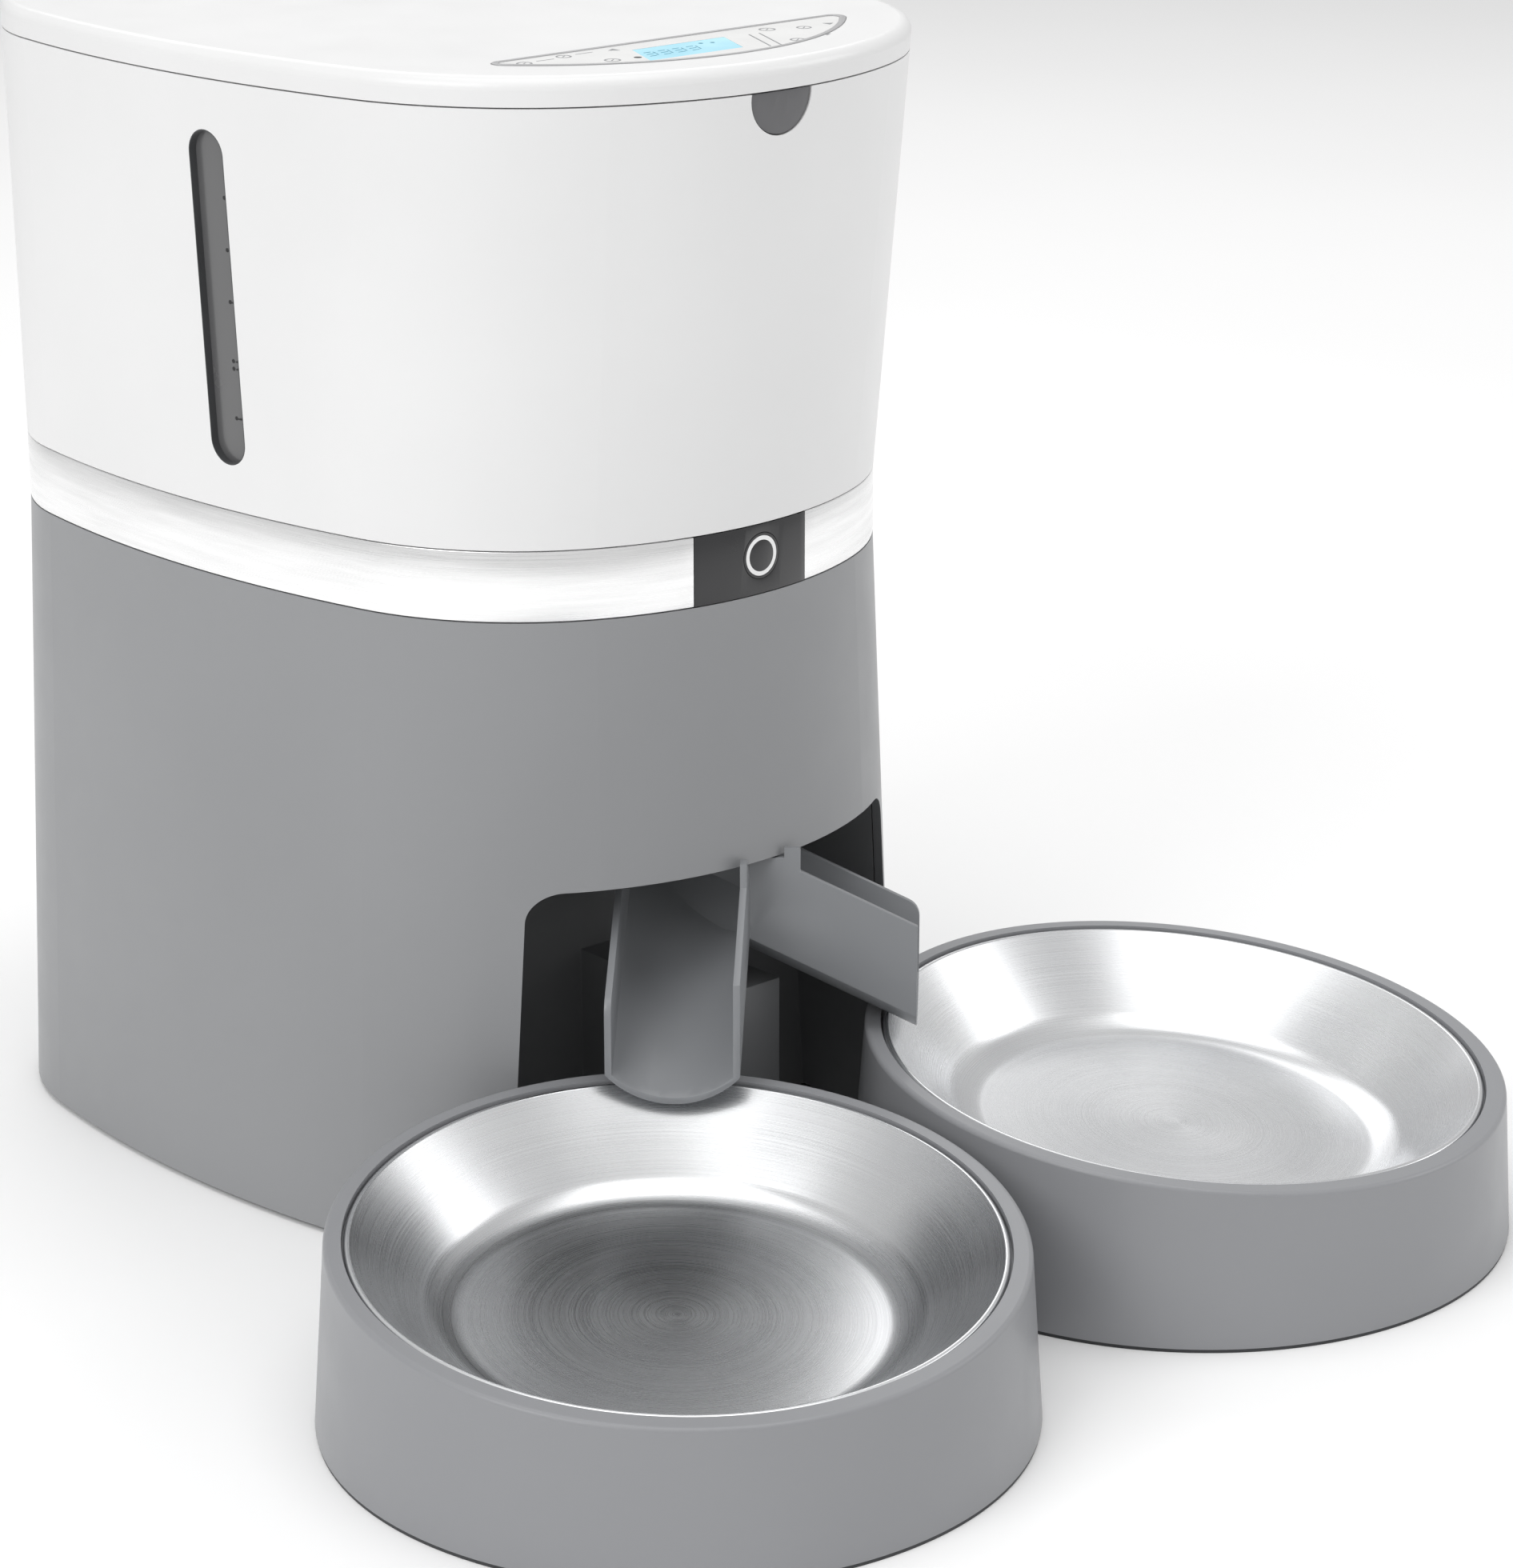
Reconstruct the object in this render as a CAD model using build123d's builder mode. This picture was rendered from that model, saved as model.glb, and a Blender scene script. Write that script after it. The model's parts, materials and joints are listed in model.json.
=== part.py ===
from build123d import *

import os
from math import atan2, cos, degrees, radians, sin, sqrt, tan

# Automatic pet feeder: a food tank in a housing, a powered feed wheel under it, a two-way
# splitter in front of the base, and two bowls on stands.
# Millimetres, +Z up, the front faces -Y, and the origin is on the floor at the middle of
# the overall footprint.

os.makedirs("parts", exist_ok=True)

# ---------------------------------------------------------------- driving dimensions
# Body: a D-shaped plan that flares to the floor and leans forwards to the lid
body_width = 186.6
body_depth = 233.7
base_top = 173.2
band_height = 18.8
hopper_height = 112.0
lid_height = 7.2
base_flare = 7.1
hopper_flare = 4.2
hopper_lean = 6.3
front_radius = 102.7
rear_radius = 54.4
front_turn = 25.5
corner_end = 75.6
side_end = 97.4

# Bowls and their stands
bowl_ahead = 71.4
bowl_spacing = 177.4
stand_base_radius = 88.3
rim_radius = 85.0
rim_height = 46.5
rim_tilt = 5.4
tilt_turn = 22.8

# Walls and clearances
shell_wall = 2.5
liner_wall = 2.0
seam = 0.4
fit_gap = 0.2
running_gap = 0.06
moving_gap = 0.3
foot_height = 1.5

# Front opening and recess
opening_width = 123.8
opening_foot_width = 138.0
opening_height = 102.2
opening_corner = 8.5
recess_depth = 56.0
column_width = 26.0
column_back_from_front = 4.5
column_height = 64.0

# Feed drum and wheel
wheel_from_front = 117.0
drum_bore = 86.0
drum_wall = 2.0
drum_floor_top = 146.0
plate_bottom = 168.0
plate_thickness = 2.5
wheel_vanes = 6

# Battery bay for three D cells
cell_diameter = 33.0
cell_length = 61.0
cell_count = 3

# ---------------------------------------------------------------- derived places
band_top = base_top + band_height
seam_height = band_top + hopper_height
lid_top = seam_height + lid_height
overall_depth = stand_base_radius + bowl_ahead + body_depth + base_flare
bowl_y = stand_base_radius - overall_depth / 2
front_y = bowl_y + bowl_ahead
back_y = front_y + body_depth
wheel_y = front_y + wheel_from_front
recess_back = front_y + recess_depth
plate_top = plate_bottom + plate_thickness

# The corner and side radii follow from the width and the depth of the plan
sin_front = sin(radians(front_turn))
cos_front = cos(radians(front_turn))
sin_corner = sin(radians(corner_end))
cos_corner = cos(radians(corner_end))
cos_side = cos(radians(side_end))
width_left = body_width / 2 - front_radius * sin_front
depth_left = body_depth - front_radius * (1 - cos_front) - rear_radius * (1 + cos_side)
plan_determinant = (sin_corner - sin_front) * (cos_corner - cos_side)
plan_determinant -= (1 - sin_corner) * (cos_front - cos_corner)
corner_radius = width_left * (cos_corner - cos_side) - depth_left * (1 - sin_corner)
corner_radius /= plan_determinant
side_radius = depth_left * (sin_corner - sin_front) - width_left * (cos_front - cos_corner)
side_radius /= plan_determinant


def body_growth(z):
    """How far the body's plan grows outwards at height z."""
    if z < base_top:
        return base_flare * (1 - z / base_top)
    return hopper_flare * max(0.0, z - band_top) / hopper_height


def body_lean(z):
    """How far the body's plan has moved forwards at height z."""
    return hopper_lean * max(0.0, z - band_top) / hopper_height


def body_outline(out, lean=0.0, mode=Mode.ADD):
    """Fill the D-shaped plan, grown outwards by out and moved forwards by lean."""
    with BuildLine() as outline:
        front = JernArc((0, front_y - out - lean), (1, 0), front_radius + out, front_turn)
        corner = JernArc(front @ 1, front % 1, corner_radius + out, corner_end - front_turn)
        side = JernArc(corner @ 1, corner % 1, side_radius + out, side_end - corner_end)
        rear = JernArc(side @ 1, side % 1, rear_radius + out, 180 - side_end)
        Line(rear @ 1, (0, (rear @ 1).Y))
        mirror(about=Plane.YZ)
    make_face(outline.edges(), mode=mode)


def body_section(z, inset=0.0, hole_inset=None):
    """The body's section at height z, inset from the outer face, with a hole or none."""
    with BuildSketch(Plane.XY.offset(z)) as section:
        body_outline(body_growth(z) - inset, body_lean(z))
        if hole_inset is not None:
            body_outline(body_growth(z) - hole_inset, body_lean(z), mode=Mode.SUBTRACT)
    return section.sketch


def body_loft(low, high, inset=0.0, hole_inset=None, mode=Mode.ADD):
    """Loft the body's flared and leaning form between two heights."""
    sections = [body_section(low, inset, hole_inset), body_section(high, inset, hole_inset)]
    return loft(sections, ruled=True, mode=mode)


def front_at(z):
    """Y of the body's foremost point at height z."""
    return front_y - body_growth(z) - body_lean(z)


def rear_at(z):
    """Y of the body's flat back at height z."""
    return back_y + body_growth(z) - body_lean(z)


def front_plane(x=0.0, z=0.0, y=0.0):
    """A plane whose sketch X is +X, whose sketch Y is +Z and whose normal is -Y."""
    return Plane(origin=(x, y, z), x_dir=(1, 0, 0), z_dir=(0, -1, 0))


def side_plane(x=0.0):
    """A plane whose sketch X is +Y, whose sketch Y is +Z and whose normal is +X."""
    return Plane(origin=(x, 0, 0), x_dir=(0, 1, 0), z_dir=(1, 0, 0))


def save(sub_part, name):
    """Label a finished piece and write it to its own file."""
    sub_part.part.label = name
    export_step(sub_part.part, f"parts/{name}.step")


# ---------------------------------------------------------------- front opening profile
def opening_profile(grow=0.0, bottom=-5.0):
    """Sketch the front opening: sides that spread towards the floor under a flat, rounded top."""
    top = opening_height + grow
    spread = (opening_foot_width - opening_width) / 2 / opening_height
    half_top = opening_width / 2 + grow
    half_bottom = half_top + spread * (top - bottom)
    arch = Polygon(
        (-half_top, top),
        (half_top, top),
        (half_bottom, bottom),
        (-half_bottom, bottom),
        align=None,
    )
    fillet(arch.vertices().group_by(Axis.Y)[-1], opening_corner + grow)


# ---------------------------------------------------------------- base shell
post_places = [(78, wheel_y - 8), (-78, wheel_y - 8), (42, back_y - 15), (-42, back_y - 15)]
post_radius = 4.0
post_hole = 1.3
post_bottom = foot_height + 3.0
post_top = plate_bottom
rib_thickness = 2.5
jack_x = 28.0
jack_z = 22.0
jack_width = 12.0
jack_height = 12.0

board_z_middle = 110.0
board_width = 60.0
board_height = 70.0
board_thickness = 1.6
board_back = back_y - 8.0
board_screw_places = [(x, board_z_middle + z) for x in (-25.0, 25.0) for z in (-30.0, 30.0)]
standoff_radius = 2.8
board_pilot = 1.0

with BuildPart() as base_shell:
    body_loft(foot_height, base_top, 0, shell_wall)
    # Standoffs for the main board on the back wall
    with BuildSketch(front_plane(y=back_y + base_flare)):
        with Locations(*board_screw_places):
            Circle(standoff_radius)
    extrude(amount=back_y + base_flare - board_back)
    # Screw posts for the bottom plate and the chassis, tied to the wall by ribs
    with BuildSketch(Plane.XY.offset(post_bottom)):
        with Locations(*post_places):
            Circle(post_radius)
    extrude(amount=post_top - post_bottom)
    for place_x, place_y in post_places:
        on_side = place_y < back_y - 20
        rib_end = body_width / 2 if on_side else back_y
        with BuildSketch(Plane.XY.offset(post_bottom)):
            if on_side:
                reach = rib_end - abs(place_x)
                with Locations((place_x + (reach / 2 if place_x > 0 else -reach / 2), place_y)):
                    Rectangle(reach, rib_thickness)
            else:
                with Locations((place_x, (place_y + rib_end) / 2)):
                    Rectangle(rib_thickness, rib_end - place_y)
        extrude(amount=base_top - 12 - post_bottom)
    body_loft(foot_height, base_top, mode=Mode.INTERSECT)
    with BuildSketch(front_plane(y=board_back + 5)):
        with Locations(*board_screw_places):
            Circle(board_pilot)
    extrude(amount=5, mode=Mode.SUBTRACT)
    with Locations(*[(x, y, post_bottom) for x, y in post_places]):
        Hole(post_hole, depth=12)
    with Locations(*[(x, y, post_top) for x, y in post_places]):
        Hole(post_hole, depth=12)
    with BuildSketch(front_plane(y=recess_back)):
        opening_profile()
    extrude(amount=recess_depth + 30, mode=Mode.SUBTRACT)
    # Hole for the power inlet
    with BuildSketch(front_plane(jack_x, jack_z, back_y + 20)):
        Rectangle(jack_width + 2 * fit_gap, jack_height + 2 * fit_gap)
    extrude(amount=30, mode=Mode.SUBTRACT)
save(base_shell, "base_shell")

# ---------------------------------------------------------------- recess liner
duct_width = 32.0
duct_wall = 1.6
mouth_front = front_y + 13.7
mouth_back = front_y + 36.0
tongue_width = 16.0
tongue_height = 3.0
tongue_z = 97.5

with BuildPart() as recess_liner:
    with BuildSketch(front_plane(y=recess_back + liner_wall)):
        opening_profile(liner_wall, foot_height)
    extrude(amount=recess_depth + 30)
    with BuildSketch(front_plane(y=recess_back)):
        opening_profile()
    extrude(amount=recess_depth + 40, mode=Mode.SUBTRACT)
    # The central column under the splitter
    with BuildSketch(Plane.XY.offset(foot_height)):
        with Locations((0, (front_y + column_back_from_front + recess_back) / 2)):
            Rectangle(column_width, recess_back - front_y - column_back_from_front)
    extrude(amount=column_height - foot_height)
    with BuildSketch(Plane.XY.offset(foot_height)):
        column_front = front_y + column_back_from_front + liner_wall
        column_rear = recess_back + liner_wall
        with Locations((0, (column_front + column_rear) / 2)):
            Rectangle(column_width - 2 * liner_wall, column_rear - column_front)
    extrude(amount=column_height - liner_wall - foot_height, mode=Mode.SUBTRACT)
    # Food comes through the ceiling, and the splitter's tongue goes through the back
    with BuildSketch(Plane.XY.offset(opening_height - 1)):
        with Locations((0, (mouth_front + mouth_back) / 2)):
            Rectangle(duct_width, mouth_back - mouth_front)
    extrude(amount=liner_wall + 2, mode=Mode.SUBTRACT)
    with BuildSketch(front_plane(0, tongue_z, recess_back + liner_wall + 1)):
        Rectangle(tongue_width + 2 * moving_gap, tongue_height + 2 * moving_gap)
    extrude(amount=liner_wall + 2, mode=Mode.SUBTRACT)
    body_loft(0, base_top, shell_wall + fit_gap, mode=Mode.INTERSECT)
save(recess_liner, "recess_liner")

# ---------------------------------------------------------------- bottom plate
bottom_thickness = 2.5
bay_wall = 1.8
bay_width = cell_count * cell_diameter + 2 * 1.5
bay_length = cell_length + 9.0
bay_height = cell_diameter + 3.0
bay_y = back_y - 26 - bay_length / 2
door_thickness = 2.0
door_lip = 3.0
foot_radius = 7.0
front_foot_x = opening_foot_width / 2 + liner_wall + fit_gap + foot_radius + 1.0
front_foot_y = front_y + 68.0
rear_foot_x = 58.0
rear_foot_y = back_y - 14.0
foot_places = [
    (front_foot_x, front_foot_y),
    (-front_foot_x, front_foot_y),
    (rear_foot_x, rear_foot_y),
    (-rear_foot_x, rear_foot_y),
]
foot_pocket = 1.0
plate_z = foot_height

with BuildPart() as bottom_plate:
    with BuildSketch(Plane.XY.offset(plate_z)):
        body_outline(body_growth(plate_z + bottom_thickness) - shell_wall - fit_gap)
        notch_depth = recess_depth + liner_wall + fit_gap + 20
        with Locations((0, front_y - 20 + notch_depth / 2)):
            Rectangle(opening_foot_width + 2 * (liner_wall + fit_gap), notch_depth, mode=Mode.SUBTRACT)
    extrude(amount=bottom_thickness)
    # Battery bay, open below
    with BuildSketch(Plane.XY.offset(plate_z)):
        with Locations((0, bay_y)):
            Rectangle(bay_width + 2 * bay_wall, bay_length + 2 * bay_wall)
    extrude(amount=bay_height + bay_wall)
    with BuildSketch(Plane.XY.offset(plate_z)):
        with Locations((0, bay_y)):
            Rectangle(bay_width, bay_length)
    extrude(amount=bay_height, mode=Mode.SUBTRACT)
    # Ledge that the door closes into
    with BuildSketch(Plane.XY.offset(plate_z)):
        with Locations((0, bay_y)):
            Rectangle(bay_width + 2 * door_lip, bay_length + 2 * door_lip)
    extrude(amount=door_thickness, mode=Mode.SUBTRACT)
    # Foot pockets and screw holes
    with BuildSketch(Plane.XY.offset(plate_z)):
        with Locations(*foot_places):
            Circle(foot_radius)
    extrude(amount=foot_pocket, mode=Mode.SUBTRACT)
    with Locations(*[(x, y, plate_z + bottom_thickness) for x, y in post_places]):
        Hole(1.7, depth=bottom_thickness)
    with BuildSketch(Plane.XY.offset(plate_z)):
        with Locations(*post_places):
            Circle(3.2)
    extrude(amount=1.2, mode=Mode.SUBTRACT)
save(bottom_plate, "bottom_plate")

with BuildPart() as battery_door:
    with BuildSketch(Plane.XY.offset(plate_z)):
        with Locations((0, bay_y)):
            slab = Rectangle(
                bay_width + 2 * (door_lip - moving_gap), bay_length + 2 * (door_lip - moving_gap)
            )
        fillet(slab.vertices(), 1.5)
    extrude(amount=door_thickness - moving_gap)
    with BuildSketch(Plane.XY.offset(plate_z)):
        with Locations((0, bay_y - bay_length / 2 + 6)):
            SlotOverall(18, 5)
    extrude(amount=0.8, mode=Mode.SUBTRACT)
save(battery_door, "battery_door")

with BuildPart() as battery_cells:
    for index in range(cell_count):
        cell_x = (index - (cell_count - 1) / 2) * (cell_diameter + 0.4)
        cell_z = plate_z + door_thickness + 0.6 + cell_diameter / 2
        flip = 1 if index % 2 else -1
        start = bay_y - flip * cell_length / 2
        with BuildSketch(Plane(origin=(cell_x, start, cell_z), z_dir=(0, flip, 0))):
            Circle(cell_diameter / 2)
        extrude(amount=cell_length - 1.5)
        with BuildSketch(Plane(origin=(cell_x, start, cell_z), z_dir=(0, flip, 0))):
            Circle(4.75)
        extrude(amount=cell_length)
save(battery_cells, "battery_cells")

contact_thickness = 0.5
with BuildPart() as battery_contacts:
    for end in (-1, 1):
        for index in range(cell_count):
            cell_x = (index - (cell_count - 1) / 2) * (cell_diameter + 0.4)
            wall_y = bay_y + end * (bay_length / 2 - contact_thickness / 2)
            with BuildSketch(Plane.XY.offset(plate_z + 8)):
                with Locations((cell_x, wall_y)):
                    Rectangle(16, contact_thickness)
                leaf_y = bay_y + end * (cell_length / 2 + 0.2 + contact_thickness / 2)
                leg = abs(wall_y - leaf_y)
                with Locations((cell_x + 7.75, (wall_y + leaf_y) / 2)):
                    Rectangle(contact_thickness, leg + contact_thickness)
                with Locations((cell_x + 2, leaf_y)):
                    Rectangle(12, contact_thickness)
            extrude(amount=20)
save(battery_contacts, "battery_contacts")

with BuildPart() as rubber_feet:
    with BuildSketch(Plane.XY):
        with Locations(*foot_places):
            Circle(foot_radius - fit_gap)
    extrude(amount=foot_height + foot_pocket)
    chamfer(rubber_feet.faces().group_by(Axis.Z)[0].edges(), 0.5)
save(rubber_feet, "rubber_feet")

# ---------------------------------------------------------------- chassis and trim band
band_wall = 1.2
ring_wall = 3.4
spigot_gap = 0.2
spigot_down = 8.0
spigot_up = 5.0
panel_width = 37.6
panel_height = band_height - 0.6
button_x = 2.4
button_z = base_top + 10.2
button_radius = 6.0
button_gap = 0.15
hopper_boss_places = [
    (body_width / 2 - 9.5, wheel_y + 12),
    (-(body_width / 2 - 9.5), wheel_y + 12),
    (34, back_y - 9.5),
    (-34, back_y - 9.5),
]
boss_radius = 3.2

with BuildPart() as chassis:
    ring_inner = band_wall + ring_wall
    with BuildSketch(Plane.XY.offset(base_top)):
        body_outline(-band_wall)
        body_outline(-ring_inner, mode=Mode.SUBTRACT)
    extrude(amount=band_height)
    with BuildSketch(Plane.XY.offset(base_top - spigot_down)):
        body_outline(-shell_wall - spigot_gap)
        body_outline(-ring_inner, mode=Mode.SUBTRACT)
    extrude(amount=spigot_down + band_height + spigot_up)
    with BuildSketch(Plane.XY.offset(plate_bottom)):
        body_outline(-ring_inner + 0.5)
    extrude(amount=plate_thickness)
    with BuildSketch(Plane.XY.offset(plate_bottom)):
        with Locations((0, wheel_y)):
            Circle(drum_bore / 2)
    extrude(amount=plate_thickness, mode=Mode.SUBTRACT)
    # Gaps in the upper spigot where the hopper's bosses come down
    with BuildSketch(Plane.XY.offset(band_top)):
        with Locations(*hopper_boss_places):
            Rectangle(2 * boss_radius + 14, 2 * boss_radius + 14)
    extrude(amount=spigot_up, mode=Mode.SUBTRACT)
    # Screw holes: into the posts below, and up into the hopper's bosses
    with Locations(*[(x, y, plate_top) for x, y in post_places + hopper_boss_places]):
        Hole(1.7, depth=plate_thickness)
    # Button hole through the ring
    with BuildSketch(front_plane(button_x, button_z, front_y + 12)):
        Circle(button_radius + 1.4)
    extrude(amount=20, mode=Mode.SUBTRACT)
save(chassis, "chassis")

with BuildPart() as trim_band:
    with BuildSketch(Plane.XY.offset(base_top + 0.3)):
        body_outline(0)
        body_outline(-band_wall, mode=Mode.SUBTRACT)
    extrude(amount=panel_height)
    with BuildSketch(front_plane(0, base_top + band_height / 2, front_y + 15)):
        Rectangle(panel_width + 0.2, band_height + 2)
    extrude(amount=30, mode=Mode.SUBTRACT)
save(trim_band, "trim_band")

with BuildPart() as button_panel:
    with BuildSketch(Plane.XY.offset(base_top + 0.3)):
        body_outline(0)
        body_outline(-band_wall, mode=Mode.SUBTRACT)
    extrude(amount=panel_height)
    with BuildSketch(front_plane(0, base_top + band_height / 2, front_y + 15)):
        Rectangle(panel_width, band_height + 2)
    extrude(amount=30, mode=Mode.INTERSECT)
    with BuildSketch(front_plane(button_x, button_z, front_y + 15)):
        Circle(button_radius + button_gap)
    extrude(amount=30, mode=Mode.SUBTRACT)
save(button_panel, "button_panel")

# ---------------------------------------------------------------- feed button
button_depth = 6.0
button_flange = 0.9
button_travel = 1.0
ring_radius = 4.7
ring_line = 1.1
ring_depth = 0.3

with BuildPart() as feed_button:
    with BuildSketch(front_plane(button_x, button_z, front_y + button_depth)):
        Circle(button_radius)
    extrude(amount=button_depth + 10)
    with BuildSketch(front_plane(button_x, button_z, front_y + band_wall + 2.2)):
        Circle(button_radius + button_flange)
    extrude(amount=1.2)
    with BuildSketch(Plane.XY.offset(base_top)):
        body_outline(0)
    extrude(amount=band_height, mode=Mode.INTERSECT)
    with BuildSketch(front_plane(button_x, button_z, front_y + ring_depth)):
        Circle(ring_radius + ring_line / 2)
        Circle(ring_radius - ring_line / 2, mode=Mode.SUBTRACT)
    extrude(amount=10, mode=Mode.SUBTRACT)
save(feed_button, "feed_button")

with BuildPart() as button_ring:
    with BuildSketch(front_plane(button_x, button_z, front_y + ring_depth)):
        Circle(ring_radius + ring_line / 2)
        Circle(ring_radius - ring_line / 2, mode=Mode.SUBTRACT)
    extrude(amount=10)
    with BuildSketch(Plane.XY.offset(base_top)):
        body_outline(0)
    extrude(amount=band_height, mode=Mode.INTERSECT)
save(button_ring, "button_ring")

switch_y = front_y + button_depth + button_travel + 0.3
with BuildPart() as button_switch:
    with BuildSketch(front_plane(button_x, button_z, switch_y + 6.1)):
        Rectangle(16, 12)
    extrude(amount=1.6)
    with BuildSketch(front_plane(button_x, button_z, switch_y + 4.5)):
        Rectangle(6, 6)
    extrude(amount=3.5)
    with BuildSketch(front_plane(button_x, button_z, switch_y + 1.0)):
        Circle(1.7)
    extrude(amount=1.0)
    # Foot that stands on the chassis plate
    with BuildSketch(Plane.XY.offset(plate_top)):
        with Locations((button_x, switch_y + 5.3)):
            Rectangle(16, 1.6)
    extrude(amount=button_z - 5 - plate_top)
save(button_switch, "button_switch")

# ---------------------------------------------------------------- hopper housing
slot_width = 12.7
slot_height = 86.7
slot_middle_z = 247.5
slot_from_front = 102.2
slot_lean = 1.8
latch_half_width = 9.5
latch_depth = 11.2
latch_gap = 0.25
latch_face_inset = 0.3
latch_flange = 1.2
latch_back = 3.2
knuckle_radius = 3.8
hinge_gap = 0.4
pin_radius = 1.5
knuckle_half = 17.7
knuckle_outer = 30.0
hinge_y = rear_at(seam_height) + knuckle_radius + hinge_gap
hinge_z = seam_height + 0.2


def latch_profile(grow=0.0):
    """Sketch the latch's half-moon, hanging from the seam."""
    width = latch_half_width + grow
    depth = latch_depth + grow
    with BuildLine() as outline:
        Polyline((-width, 0), (-width, 2), (width, 2), (width, 0))
        ThreePointArc((width, 0), (0, -depth), (-width, 0))
    make_face(outline.edges())


slot_plane = Plane(
    origin=(0, front_y + slot_from_front, slot_middle_z), x_dir=(0, 1, 0), z_dir=(-1, 0, 0)
).rotated((0, 0, slot_lean))

with BuildPart() as hopper_housing:
    body_loft(band_top, seam_height - seam, 0, shell_wall)
    # Bosses inside the foot, screwed from below through the chassis plate
    with BuildSketch(Plane.XY.offset(plate_top)):
        with Locations(*hopper_boss_places):
            Circle(boss_radius)
    extrude(amount=band_top + 4 - plate_top)
    with BuildSketch(Plane.XY.offset(band_top + 0.2)):
        for place_x, place_y in hopper_boss_places:
            if place_y < back_y - 12:
                with Locations((place_x + (4 if place_x > 0 else -4), place_y)):
                    Rectangle(10, 2 * boss_radius)
            else:
                with Locations((place_x, place_y + 4)):
                    Rectangle(2 * boss_radius, 10)
    extrude(amount=3.8)
    # Middle hinge knuckle on the back wall
    with BuildSketch(side_plane(-knuckle_half)):
        with Locations((hinge_y, hinge_z)):
            Circle(knuckle_radius)
    extrude(amount=2 * knuckle_half)
    with BuildSketch(side_plane(-knuckle_half)):
        web_reach = knuckle_radius + hinge_gap + shell_wall - 1
        with Locations((hinge_y - web_reach / 2, hinge_z - seam - 0.2 - 1.4)):
            Rectangle(web_reach, 2.8)
    extrude(amount=2 * knuckle_half)
    with BuildSketch(side_plane(-knuckle_half - 1)):
        with Locations((hinge_y, hinge_z)):
            Circle(pin_radius)
    extrude(amount=2 * knuckle_half + 2, mode=Mode.SUBTRACT)
    # Level slot in the left side and the latch opening in the front
    with BuildSketch(slot_plane):
        SlotOverall(slot_height, slot_width, rotation=90)
    extrude(amount=body_width, mode=Mode.SUBTRACT)
    with BuildSketch(front_plane(0, seam_height, front_y + 12)):
        latch_profile(latch_gap)
    extrude(amount=40, mode=Mode.SUBTRACT)
    with Locations(*[(x, y, plate_top) for x, y in hopper_boss_places]):
        Hole(post_hole, depth=12)
save(hopper_housing, "hopper_housing")

window_inset = 2.0
window_thickness = 1.4
with BuildPart() as window_flange:
    with BuildSketch(slot_plane):
        SlotOverall(slot_height + 4, slot_width + 4, rotation=90)
    extrude(amount=body_width)
    body_loft(band_top, seam_height, shell_wall, shell_wall + 1.0, mode=Mode.INTERSECT)

with BuildPart() as level_window:
    with BuildSketch(slot_plane):
        SlotOverall(slot_height - 2 * fit_gap, slot_width - 2 * fit_gap, rotation=90)
    extrude(amount=body_width)
    body_loft(band_top, seam_height, window_inset, window_inset + window_thickness, mode=Mode.INTERSECT)
    add(window_flange.part)
save(level_window, "level_window")

# ---------------------------------------------------------------- food tank
tank_inset = 8.5
tank_wall = 2.0
tank_top = seam_height - 5.5
tank_tube_bottom = 197.0
neck_radius = drum_bore / 2 - 0.4
neck_bottom = plate_bottom + 0.5
funnel_start = 180.0
funnel_angle = 25.0
funnel_reach = 150.0
funnel_rise = funnel_reach * tan(radians(funnel_angle))
flange_inset = 3.4
flange_height = 2.0

with BuildPart() as food_tank:
    wheel_axis = Axis((0, wheel_y, 0), (0, 0, 1))
    with BuildSketch(front_plane(y=wheel_y)):
        with BuildLine():
            inner = neck_radius - tank_wall
            slope_wall = tank_wall / cos(radians(funnel_angle))
            Polyline(
                (inner, funnel_start),
                (inner + funnel_reach, funnel_start + funnel_rise),
                (inner + funnel_reach, funnel_start + funnel_rise - slope_wall),
                (inner, funnel_start - slope_wall),
                close=True,
            )
        make_face()
    revolve(axis=wheel_axis)
    body_loft(band_top, seam_height, tank_inset, mode=Mode.INTERSECT)
    # The cone below the loft's foot
    with BuildSketch(front_plane(y=wheel_y)):
        with BuildLine():
            low_reach = (band_top + 2 - funnel_start) / tan(radians(funnel_angle))
            Polyline(
                (inner, funnel_start),
                (inner + low_reach, band_top + 2),
                (inner + low_reach, band_top + 2 - slope_wall),
                (inner, funnel_start - slope_wall),
                close=True,
            )
        make_face()
    revolve(axis=wheel_axis)
    with BuildSketch(Plane.XY.offset(neck_bottom)):
        with Locations((0, wheel_y)):
            Circle(neck_radius)
            Circle(inner, mode=Mode.SUBTRACT)
    extrude(amount=funnel_start - neck_bottom)
    # Collar that rests on the chassis plate
    with BuildSketch(Plane.XY.offset(plate_top)):
        with Locations((0, wheel_y)):
            Circle(neck_radius + 5)
            Circle(inner, mode=Mode.SUBTRACT)
    extrude(amount=2.0)
    body_loft(tank_tube_bottom, tank_top, tank_inset, tank_inset + tank_wall)
    body_loft(tank_top - flange_height, tank_top, flange_inset, tank_inset + tank_wall)
    # Clear the space behind the latch
    with BuildSketch(Plane.XY.offset(tank_top - flange_height - 1)):
        with Locations((0, front_at(tank_top) + tank_inset / 2 - 10)):
            Rectangle(2 * latch_half_width + 8, tank_inset + 19)
    extrude(amount=flange_height + 2, mode=Mode.SUBTRACT)
save(food_tank, "food_tank")

# ---------------------------------------------------------------- latch button
with BuildPart() as latch_plate:
    with BuildSketch(front_plane(0, seam_height, front_y + latch_depth)):
        latch_profile(latch_flange)
    extrude(amount=4 * latch_depth)
    body_loft(band_top, seam_height, shell_wall + 0.1, latch_back, mode=Mode.INTERSECT)

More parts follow.
